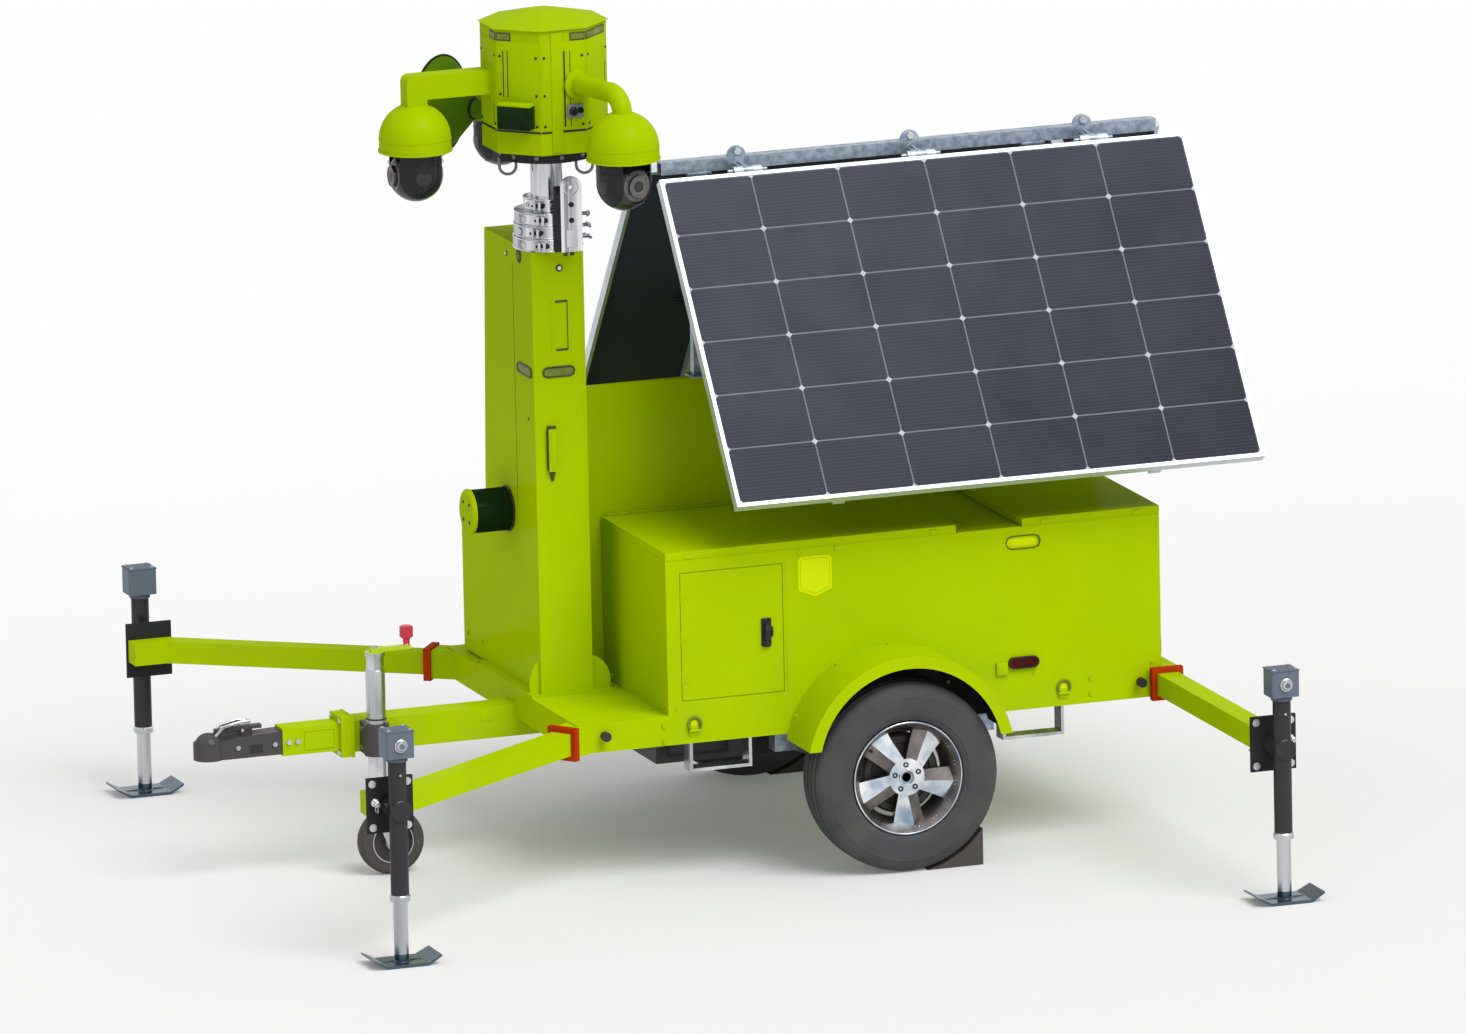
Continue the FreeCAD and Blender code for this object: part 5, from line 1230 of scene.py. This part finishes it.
def add_column_details():
    """Recessed grips, screws, seams and the latch on the column's left and front faces."""
    near = MAST_Y + COLUMN_HALF
    ahead = MAST_X + COLUMN_HALF
    column = Shape()
    for outline, push in ((stadium((0.484, near, 1.574), FORWARD, UP, 0.104, 0.030, 4), LEFTWARD),
                          (stadium((ahead, 0.112, 1.570), LEFTWARD, UP, 0.134, 0.030, 4), FORWARD)):
        column.slab(outline, push * 0.0020, 0.0008, 1)
        column.bent_rod([point + push * 0.0020 for point in outline], 0.0034, 0, 8, closed=True)
    screws = (((0.475, near, 1.904), LEFTWARD, 0.0120), ((ahead, -0.040, 1.915), FORWARD, 0.0090))
    for place, axis, radius in screws:
        column.lathe([(0, 0), (0, radius), (0.0016, radius), (0.002, radius * 0.62), (0.002, 0)],
                     place, axis, 0, 20)
        column.lathe([(0.0018, 0), (0.0018, radius * 0.60), (0.005, radius * 0.55), (0.006, 0)],
                     place, axis, 3, 6)
    # A dished eye in darker lime and dark olive: painted shadow of a hole in the front face
    eye = (ahead, 0.080, 1.930)
    column.lathe([(0, 0), (0, 0.0240), (0.0012, 0.0235), (0.0016, 0.0180), (0.0007, 0.0170), (0.0007, 0)],
                 eye, FORWARD, 4, 24)
    column.lathe([(0.0008, 0), (0.0008, 0.0150), (0.0030, 0.0130), (0.0030, 0)], eye, FORWARD, 0, 20)
    for x in (0.430, 0.452):
        column.block((x - 0.007, near - 0.0002, 1.940), (x + 0.007, near + 0.0014, 1.951), 0.0005, 0)
    column.stud((ahead, 0.139, 1.418), FORWARD, 0.0062, 0.0020, 0, 12, 0.0056)
    add_latch(column, near)
    column.block((0.4495, near - 0.0016, 1.642), (0.4515, near + 0.0010, 1.798), 0.0004, 0)
    column.block((0.5060, near - 0.0016, 1.642), (0.5075, near + 0.0012, 1.798), 0.0004, 2)
    for z in (1.6425, 1.7975):
        column.block((0.4520, near - 0.0018, z - 0.0035), (0.4900, near + 0.0008, z + 0.0035), 0.0006, 0)
    column.block((ahead - 0.0002, 0.0142, 1.130), (ahead + 0.0009, 0.0160, 1.900), 0.0003, 0)
    column.block((0.4030, near - 0.0002, 0.640), (0.4042, near + 0.0008, 1.945), 0.0003, 2)
    add_piece("column_details", column, "trailer", "lime_paint", DARK_OLIVE, OLIVE_PLASTIC, LIME_PAINT,
              ZINC_METAL, LIME_SHADE)


def add_latch(column, near):
    """Pull latch on the column's left face: a strap along its front edge, dark as painted shadow, a strap
    across its top, a bar between them and a pointed tail.
    """
    # Dark olive strip along the front edge: painted shadow
    column.block((0.5255, near, 1.262), (0.5300, near + 0.0110, 1.392), 0.001, 0)
    column.block((0.5000, near, 1.3935), (0.5290, near + 0.0125, 1.4030), 0.002, 0)
    column.block((0.5020, near + 0.0138, 1.266), (0.5180, near + 0.0155, 1.386), 0.001, 2)
    tail = [(0.503, near, 1.2585), (0.524, near, 1.2585), (0.5165, near, 1.226), (0.5105, near, 1.226)]
    column.slab(tail, (0, 0.007, 0), 0.0008, 0)


def add_base_plate_bolts():
    """Bolts round the column's base plate, and the four of the low box beside it."""
    rows = []
    # Rows along the plate's rear and front edges
    for x, places in ((0.360, (0.185, -0.020, -0.235, -0.325)), (0.600, (0.185, -0.325))):
        for y in places:
            rows.append(((x, y, 0.544), UP, 0.9))
    for y in (-0.500, -0.360):
        for z in (0.960, 0.600):
            rows.append(((0.5665, y, z), FORWARD, 0.6))
    add_fasteners("base_plate_bolts", rows, "trailer", LIME_PAINT)


def add_canister_cap():
    """Lipped cap on the canister's end, with four screws, and the bead at its root."""
    cap = Shape()
    y, z, radius = CANISTER
    end = 0.703
    root = 0.5705
    cap.lathe([(-0.012, radius + 0.0006), (-0.012, radius + 0.003), (-0.004, radius + 0.004),
               (0.0022, radius - 0.002), (0.0028, radius - 0.012), (0.0012, radius - 0.014), (0.0012, 0),
               (-0.0005, 0), (-0.0005, radius + 0.0006), (-0.012, radius + 0.0006)],
              (end, y, z), FORWARD, 0, 48)
    for degrees in (45, 135, 225, 315):
        spot = Vector((end + 0.0012, y, z)) + outward(degrees, LEFTWARD, UP) * 0.040
        cap.stud(spot, FORWARD, 0.0055, 0.003, 1, 12, 0.0048)
    cap.hoop((root, y, z), FORWARD, radius + 0.001, 0.0035, 1, 48)
    add_piece("canister_cap", cap, "trailer", "lime_paint", LIME_PAINT, BLACK_PAINT)


def add_collar_pieces():
    """Beads, clamp ears and clamp bolts on each mast collar."""
    for index, (body, low, radius, ear_angle) in enumerate(COLLARS):
        middle = Vector((MAST_X, MAST_Y, low + 0.020))
        collar = Shape()
        for rise in (0.0035, 0.0365):
            collar.hoop((MAST_X, MAST_Y, low + rise), UP, radius - 0.0012, 0.0024, 0, 72)
        collar.place = about_mast(ear_angle)
        start = MAST_X + radius - 0.004
        bolt = start + 0.013
        for near, far in ((0.004, 0.013), (-0.013, -0.004)):
            collar.block((start, MAST_Y + near, low + 0.006), (start + 0.020, MAST_Y + far, low + 0.034),
                         0.0015, 0)
        collar.rod((bolt, MAST_Y - 0.020, middle.z), (bolt, MAST_Y + 0.024, middle.z), 0.0042, 1, 10)
        collar.stud((bolt, MAST_Y + 0.013, middle.z), LEFTWARD, 0.0075, 0.006, 1)
        for degrees in (-34, 34, 76):
            out = outward(degrees)
            screw = [(0, 0), (0, 0.0078), (0.0045, 0.0078), (0.0048, 0.004), (0.0030, 0.0036), (0.0030, 0)]
            collar.lathe(screw, middle + out * (radius - 0.001), out, 0, 12)
        add_piece("collar_clamp_%d" % index, collar, body, "zinc_plate", ZINC_METAL, BLACK_PAINT)


def add_pulley_guide():
    """Guide rail, screws and pulley ring on the face of the plate beside the mast."""
    face = 0.2365
    guide = Shape()
    guide.block((0.478, 0.2290, 1.962), (0.500, face, 2.172), 0.002, 1)
    for x, z in ((0.443, 2.110), (0.443, 2.060), (0.489, 2.000), (0.489, 2.140)):
        guide.lathe([(0, 0), (0, 0.0085), (0.003, 0.0085), (0.0065, 0.005), (0.0065, 0)],
                    (x, face, z), LEFTWARD, 1, 14)
    guide.hoop((0.443, face + 0.001, 2.165), LEFTWARD, 0.0235, 0.0022, 0, 32)
    guide.block((0.425, face + 0.0003, 1.975), (0.461, face + 0.002, 2.030), 0.001, 0)
    add_piece("pulley_guide", guide, "trailer", "zinc_plate", ZINC_METAL, BLACK_PAINT)


# Head and cameras

def face_place(degrees):
    """Frame on one face of the octagonal head: X along the face, Y up, Z outwards."""
    out = outward(degrees)
    place = Matrix((UP.cross(out), UP, out)).transposed().to_4x4()
    place.translation = Vector((MAST_X, MAST_Y, 0)) + out * HEAD_HALF
    return place


def add_head_details():
    """Cover panels with screws, grooves, window slots and a sensor, and the collar and loops of the neck."""
    head = Shape()
    for degrees in range(0, 360, 45):
        head.place = face_place(degrees)
        head.block((-FACE_HALF + 0.004, 2.362, -0.002), (FACE_HALF - 0.004, 2.642, 0.0015), 0.001, 0)
        head.block((-FACE_HALF + 0.001, 2.3535, -0.001), (FACE_HALF - 0.001, 2.3595, 0.0012), 0.0005, 1)
        for along in (-FACE_HALF + 0.013, FACE_HALF - 0.013):
            for z in (2.376, 2.474, 2.594):
                # A camera's arm covers these screws
                if degrees in (0, 270) and abs(z - CAMERA_LIFT) < 0.06:
                    continue
                screw = [(0, 0), (0, 0.0046), (0.0022, 0.0042), (0.0026, 0)]
                head.lathe(screw, (along, z, 0.0012), UP, 1, 10)
    for degrees, along, low, high, wide in GROOVES:
        head.place = face_place(degrees)
        head.block((along - wide, low, 0.0012), (along + wide, high, 0.0022), 0.0004, 1)
    head.place = face_place(90)
    head.block((-0.040, 2.290, -0.001), (-0.004, 2.672, 0.0042), 0.0015, 0)
    for degrees, near, far in HEAD_SLOTS:
        head.place = face_place(degrees)
        head.block((near, 2.6430, -0.001), (far, 2.6690, 0.0022), 0.0008, 4)
        head.block((near + 0.004, 2.6470, -0.001), (far - 0.004, 2.6650, 0.0030), 0.0006, 5)
    head.place = face_place(90)
    head.block((0.010, 2.398, 0.001), (0.064, 2.442, 0.010), 0.003, 2)
    head.lathe([(0, 0), (0, 0.014), (0.008, 0.013), (0.011, 0.009), (0.011, 0)],
               (0.028, 2.420, 0.010), UP, 1, 20)
    head.stud((0.052, 2.422, 0.010), UP, 0.010, 0.006, 3, 16, 0.009)
    head.place = Matrix()
    for degrees in range(0, 360, 30):
        out = outward(degrees)
        head.stud(Vector((MAST_X, MAST_Y, 2.268)) + out * 0.1482, out, 0.0075, 0.0065, 2)
    head.hoop((MAST_X, MAST_Y, 2.2815), UP, 0.1508, 0.0024, 2, 64)
    for z, radius in ((2.2495, 0.056), (2.2440, 0.052)):
        head.hoop((MAST_X, MAST_Y, z), UP, radius, 0.006, 2, 48)
    for degrees in (-20, 160):
        head.place = about_mast(degrees)
        x = MAST_X + 0.120
        line = arc((x, MAST_Y, 2.216), FORWARD * 0.026, UP * 0.026, 180, 360, 12)
        head.bent_rod([(x - 0.026, MAST_Y, 2.254), *line, (x + 0.026, MAST_Y, 2.254)], 0.0048, 2)
    head.place = Matrix()
    head.block((0.478, 0.160, 2.6985), (0.522, 0.190, 2.7065), 0.002, 4)
    add_piece("head_details", head, "head", "lime_paint", LIME_PAINT, BLACK_PAINT, GREY_PLASTIC, GREEN_GLASS,
              DARK_OLIVE, OLIVE_PLASTIC)


def add_floodlight_lens():
    """Glass, visor, frame edges, cooling fins and bead of the floodlight, on its own face of the head."""
    half, low, high, front = 0.0545, 2.3722, 2.4430, 0.0464
    lamp = Shape(face_place(45))
    lamp.block((-half, low, 0.0435), (half, high, front), 0.0015, 0)
    lamp.block((-half, high, 0.0060), (half, 2.4535, 0.0475), 0.0045, 1)
    lamp.block((-half, 2.3705, 0.0020), (half, low, 0.0445), 0.0004, 2)
    for along in (-0.0552, 0.0532):
        lamp.block((along, 2.3715, 0.0020), (along + 0.0020, high, 0.0445), 0.0004, 0)
    for index in range(4):
        fin = 2.384 + index * 0.014
        lamp.block((half, fin, 0.012), (0.0562, fin + 0.003, 0.036), 0.0004, 2)
    bead = [(-0.0470, 2.3800, front), (0.0470, 2.3800, front), (0.0470, 2.4360, front),
            (-0.0470, 2.4360, front)]
    lamp.bent_rod(bead, 0.0009, 2, 6, closed=True)
    add_piece("floodlight_lens", lamp, "head", "smoked_dome", GREEN_GLASS, LIME_PAINT, BLACK_PAINT)


def add_horn_bead():
    """Rolled edge, throat ring and driver cone of the horn; the edge and the cone take the dark green lens
    finish as painted shade.
    """
    horn = Shape(about_mast(-51.5))
    mouth = MAST_X + 0.390
    z = 2.374
    horn.hoop((mouth - 0.002, MAST_Y, z), FORWARD, 0.1585, 0.004, 0, 64)
    horn.hoop((mouth - 0.128, MAST_Y, z), FORWARD, 0.0325, 0.004, 1, 32)
    horn.lathe([(0, 0), (0, 0.031), (0.020, 0.028), (0.050, 0.012), (0.060, 0)],
               (mouth - 0.124, MAST_Y, z), FORWARD, 0, 32)
    add_piece("horn_bead", horn, "head", "lime_paint", GREEN_GLASS, BLACK_PAINT)


def add_camera_pieces():
    """Seams, covers and glass of the three cameras."""
    for name, degrees in CAMERAS:
        place = about_mast(degrees)
        x = MAST_X + CAMERA_RADIUS
        add_bell_seams(name, place, x)
        add_yoke_covers(name, place, x)
        add_camera_glass(name, place, x)


def add_bell_seams(name, place, x):
    """Beads of the bell cap, and where its arm meets the head."""
    bell = Shape(place)
    bell.hoop((x, MAST_Y, CAP_LOW + 0.041), UP, 0.1130, 0.0014, 0, 72)
    bell.hoop((x, MAST_Y, CAP_LOW + 0.002), UP, 0.1145, 0.0024, 0, 72)
    face = MAST_X + HEAD_HALF
    if name == "front":
        bell.block((face - 0.001, MAST_Y - 0.045, CAMERA_LIFT - 0.050),
                   (face + 0.006, MAST_Y + 0.045, CAMERA_LIFT + 0.050), 0.001, 0)
    else:
        bell.lathe([(0, 0.0305), (0, 0.048), (0.008, 0.048), (0.014, 0.034), (0.014, 0.0305), (0, 0.0305)],
                   (face + 0.0005, MAST_Y, CAMERA_LIFT), FORWARD, 0, 40)
        bell.hoop((x - 0.062, MAST_Y, CAMERA_LIFT), FORWARD, 0.0305, 0.0014, 0, 40)
        bell.hoop((x, MAST_Y, CAMERA_LIFT - 0.0625), UP, 0.0305, 0.0014, 0, 40)
    bell.hoop((x, MAST_Y, CAP_LOW + 0.1145), UP, 0.081, 0.0012, 0, 64)
    add_piece("bell_seams_" + name, bell, "head", "lime_paint", LIME_PAINT)


def add_yoke_covers(name, place, x):
    """Domed side covers with their seams on the turning yoke."""
    yoke = Shape(place)
    for side in (-1, 1):
        yoke.lathe([(0.0795, 0), (0.0795, 0.0275), (0.0820, 0.0270), (0.0842, 0.0235), (0.0855, 0.0180),
                    (0.0862, 0.0100), (0.0865, 0)], (x, MAST_Y, BALL_Z), LEFTWARD * side, 0, 40)
        yoke.hoop((x, MAST_Y + side * 0.0806, BALL_Z), LEFTWARD, 0.0300, 0.0011, 1, 40)
        edge = arc((x, MAST_Y + side * 0.0503, BALL_Z), FORWARD * 0.0697, UP * 0.0697, -90, 10, 20)
        yoke.bent_rod(edge, 0.0012, 1, 6)
    yoke.hoop((x, MAST_Y, BALL_Z + 0.040), UP, BALL_R + 0.0002, 0.0012, 1, 64)
    add_piece("yoke_covers_" + name, yoke, "camera_pan_" + name, "smoked_dome", DARK_PLASTIC, BLACK_PAINT)


def add_camera_glass(name, place, x):
    """Window, lens and the ring of six small lights on the tilting ball."""
    ball = Shape(place)
    middle = Vector((x, MAST_Y, BALL_Z))
    front = middle + FORWARD * 0.082
    ball.hoop(front, FORWARD, 0.0315, 0.0026, 0, 48)
    ball.lathe([(0, 0), (0, 0.0300), (0.0010, 0.0280), (0.0014, 0.0200), (0.0006, 0.0190), (0.0006, 0)],
               front, FORWARD, 0, 40)
    ball.lathe([(0.0006, 0), (0.0006, 0.0180), (0.0016, 0.0130), (0.0020, 0)], front, FORWARD, 1, 32)
    ball.lathe([(0.0650, 0.0342), (0.0650, 0.0485), (0.0712, 0.0480), (0.0730, 0.0455), (0.0730, 0.0342),
                (0.0650, 0.0342)], middle, FORWARD, 0, 48)
    for degrees in range(30, 390, 60):
        spot = middle + FORWARD * 0.073 + outward(degrees, LEFTWARD, UP) * 0.0405
        ball.stud(spot, FORWARD, 0.0028, 0.0012, 1, 10, 0.0024)
    add_piece("camera_glass_" + name, ball, "camera_tilt_" + name, "smoked_dome", LENS_GREY, DARK_PLASTIC)


# Drawbar, coupling and jockey wheel

def add_drawbar_details():
    """Sleeve bead, bolts, side plates, the jockey clamp's handle and the flange on the drawbar."""
    bar = Shape()
    low, high = DRAWBAR_Z - 0.030, DRAWBAR_Z + 0.030
    for side in (-1, 1):
        out = LEFTWARD * side
        face = side * 0.0395
        outline = [(1.202, face, low), (1.300, face, low), (1.300, face, high), (1.202, face, high)]
        bar.bent_rod(outline, 0.0022, 0, 6, closed=True)
        for x in (1.322, 1.352):
            bar.stud((x, side * 0.039, DRAWBAR_Z), out, 0.0095, 0.006, 1)
        for x in (0.700, 0.980):
            bar.block((x - 0.020, side * 0.0500 - 0.001, DRAWBAR_Z + 0.004),
                      (x + 0.020, side * 0.0500 + 0.001, DRAWBAR_Z + 0.044), 0.0005, 0)
        for z in (low, high):
            bar.stud((JOCKEY[0] + side * 0.0335, 0.080, z), FORWARD * side, 0.0085, 0.006, 1)
    bar.rod((1.040, 0.126, DRAWBAR_Z + 0.012), (1.036, 0.174, DRAWBAR_Z + 0.012), 0.0055, 1, 12)
    bar.rod((1.037, 0.172, DRAWBAR_Z - 0.022), (1.037, 0.172, DRAWBAR_Z + 0.046), 0.0055, 1, 12)
    bar.block((1.140, -0.058, DRAWBAR_Z - 0.066), (1.1505, 0.058, DRAWBAR_Z + 0.066), 0.001, 0)
    add_piece("drawbar_details", bar, "trailer", "lime_paint", LIME_PAINT, ZINC_METAL)
    rows = []
    for y in (-0.042, 0.042):
        for z in (DRAWBAR_Z - 0.050, DRAWBAR_Z + 0.050):
            rows.append(((1.184, y, z), FORWARD, 0.8))
    add_fasteners("flange_bolts", rows, "trailer", ZINC_METAL)


def add_coupling_lever():
    """Bent lever with its pin, side plates, bolts and the bead of the ball socket."""
    hitch = Shape()
    near_half = [(1.474, 0.016, 0.508), (1.500, 0.019, 0.510), (1.560, 0.019, 0.498), (1.590, 0.017, 0.466)]
    far_half = [(x, -y, z) for x, y, z in reversed(near_half)]
    # From the far end of the handle, round the near side to the tip and back
    lever = [far_half[-1], *near_half, (1.593, 0.0, 0.462), *far_half[:-1]]
    hitch.bent_rod(lever, 0.0055, 0, 10, closed=True)
    hitch.rod((1.500, -0.030, 0.484), (1.500, 0.030, 0.484), 0.005, 0, 12)
    for side in (-1, 1):
        hitch.block((1.438, side * 0.0362 - 0.0010, 0.410), (1.478, side * 0.0362 + 0.0010, 0.436), 0.0008, 1)
        for x in (1.398, 1.520):
            hitch.stud((x, side * 0.036, 0.432), LEFTWARD * side, 0.0085, 0.006, 0)
    hitch.hoop((SOCKET_X, 0, 0.4005), UP, 0.0445, 0.0030, 0, 40)
    add_piece("coupling_lever", hitch, "trailer", "zinc_plate", ZINC_METAL, BLACK_PAINT)


def add_jockey_sleeve():
    """Sleeve, nut, knob grip and rings on the jockey stem."""
    x, y = JOCKEY
    knob = x - 0.106
    stem = Shape()
    stem.lathe([(0, 0.0277), (0, 0.0325), (0.006, 0.0325), (0.006, 0.0305), (0.165, 0.0305), (0.170, 0.0277),
                (0, 0.0277)], (x, y, 0.4905), UP, 0, 36)
    stem.hoop((x, y, 0.502), UP, 0.0305, 0.0030, 1, 36)
    stem.lathe([(0, 0), (0, 0.010), (0.006, 0.010), (0.008, 0.006), (0.008, 0)], (x, y, 0.7275), UP, 0, 6)
    stem.hoop((knob, y, 0.7300), UP, 0.0095, 0.0016, 0, 24)
    stem.lathe([(0, 0), (0, 0.0150), (0.004, 0.0205), (0.010, 0.0220), (0.016, 0.0208), (0.022, 0.0220),
                (0.029, 0.0208), (0.036, 0.0215), (0.040, 0.0160), (0.041, 0)], (knob, y, 0.750), UP, 2, 28)
    add_piece("jockey_sleeve", stem, "jockey_stem", "zinc_plate", ZINC_METAL, BLACK_PAINT, RED_PLASTIC)


def add_jockey_hub():
    """Hub caps, side beads and the low treads of the jockey wheel."""
    x, y = JOCKEY
    axle = Vector((x - 0.037, y, 0.105))
    wheel = Shape()
    for side in (-1, 1):
        wheel.lathe([(0.0270, 0), (0.0270, 0.026), (0.0290, 0.025), (0.0300, 0.020), (0.0300, 0)], axle,
                    LEFTWARD * side, 0, 24)
        wheel.hoop(axle + LEFTWARD * side * 0.0272, LEFTWARD, 0.066, 0.0026, 0, 48)
    for degrees in range(0, 360, 12):
        start = axle + outward(degrees, FORWARD, UP) * 0.1035
        wheel.rod(start - LEFTWARD * 0.020, start + LEFTWARD * 0.020, 0.0014, 1, 6, 0.0005)
    add_piece("jockey_hub", wheel, "jockey_roller", "hard_rubber", ZINC_METAL, DARK_PLASTIC)


add_wheels()
add_outriggers()
add_deck_pieces()
add_ridge_pieces()
add_panel_pieces()
add_column_details()
add_base_plate_bolts()
add_canister_cap()
add_collar_pieces()
add_pulley_guide()
add_head_details()
add_floodlight_lens()
add_horn_bead()
add_camera_pieces()
add_drawbar_details()
add_coupling_lever()
add_jockey_sleeve()
add_jockey_hub()


# Camera, light and floor

def place_camera():
    """A camera far off on the photo's line of sight, aimed at its target."""
    away = Vector((math.sin(CAMERA_AZIMUTH) * math.cos(CAMERA_ELEVATION),
                   math.cos(CAMERA_AZIMUTH) * math.cos(CAMERA_ELEVATION), math.sin(CAMERA_ELEVATION)))
    right = (-away).cross(UP).normalized()
    top = right.cross(-away)
    turned_right = right * math.cos(CAMERA_ROLL) + top * math.sin(CAMERA_ROLL)
    turned_top = top * math.cos(CAMERA_ROLL) - right * math.sin(CAMERA_ROLL)
    data = bpy.data.cameras.new("camera")
    data.sensor_width = 36
    data.lens = FOCAL_PIXELS / IMAGE_WIDTH * data.sensor_width
    data.clip_start = 1
    data.clip_end = 300
    camera = bpy.data.objects.new("camera", data)
    bpy.context.scene.collection.objects.link(camera)
    place = Matrix((turned_right, turned_top, away)).transposed().to_4x4()
    place.translation = CAMERA_TARGET + away * CAMERA_DISTANCE
    camera.matrix_world = place
    bpy.context.scene.camera = camera


def light_scene():
    """One broad soft lamp and an even sky that looks white."""
    sun = bpy.data.lights.new("sun", "SUN")
    sun.energy = SUN_STRENGTH
    sun.angle = SUN_SPREAD
    lamp = bpy.data.objects.new("sun", sun)
    bpy.context.scene.collection.objects.link(lamp)
    lamp.rotation_mode = "QUATERNION"
    lamp.rotation_quaternion = SUN_FROM.normalized().to_track_quat("Z", "Y")
    world = bpy.data.worlds.new("studio")
    world.use_nodes = True
    sky = Nodes(world.node_tree)
    background = sky.tree.nodes["Background"]
    sky.feed(background.inputs["Color"], WHITE)
    sky.feed(background.inputs["Strength"], SKY_STRENGTH + sky.seen() * (1 - SKY_STRENGTH))
    bpy.context.scene.world = world


def lay_floor():
    """A pale floor that keeps the object's shadow and glows white with distance."""
    mesh = bpy.data.meshes.new("floor")
    shape = bmesh.new()
    bmesh.ops.create_grid(shape, x_segments=1, y_segments=1, size=FLOOR_HALF)
    shape.to_mesh(mesh)
    shape.free()
    floor = bpy.data.objects.new("floor", mesh)
    bpy.context.scene.collection.objects.link(floor)
    finish = Finish("pale_floor")
    finish.set(color=FLOOR_PAINT, rough=0.8, specular=0.1)
    _, (x, y, z) = finish.place()
    far = 1 - y.ramp(*FLOOR_FADE)
    glow = finish.node("ShaderNodeEmission", None, {"Color": WHITE, "Strength": FLOOR_GLOW})
    share = finish.seen() * (FLOOR_GLOW_NEAR + far * (FLOOR_GLOW_FAR - FLOOR_GLOW_NEAR))
    blend = finish.node("ShaderNodeMixShader", None, {0: share, 1: finish.shader.outputs[0], 2: glow})
    finish.feed(finish.tree.nodes["Material Output"].inputs["Surface"], blend)
    mesh.materials.append(finish.material)


place_camera()
light_scene()
lay_floor()
bpy.context.scene.view_settings.view_transform = "Standard"
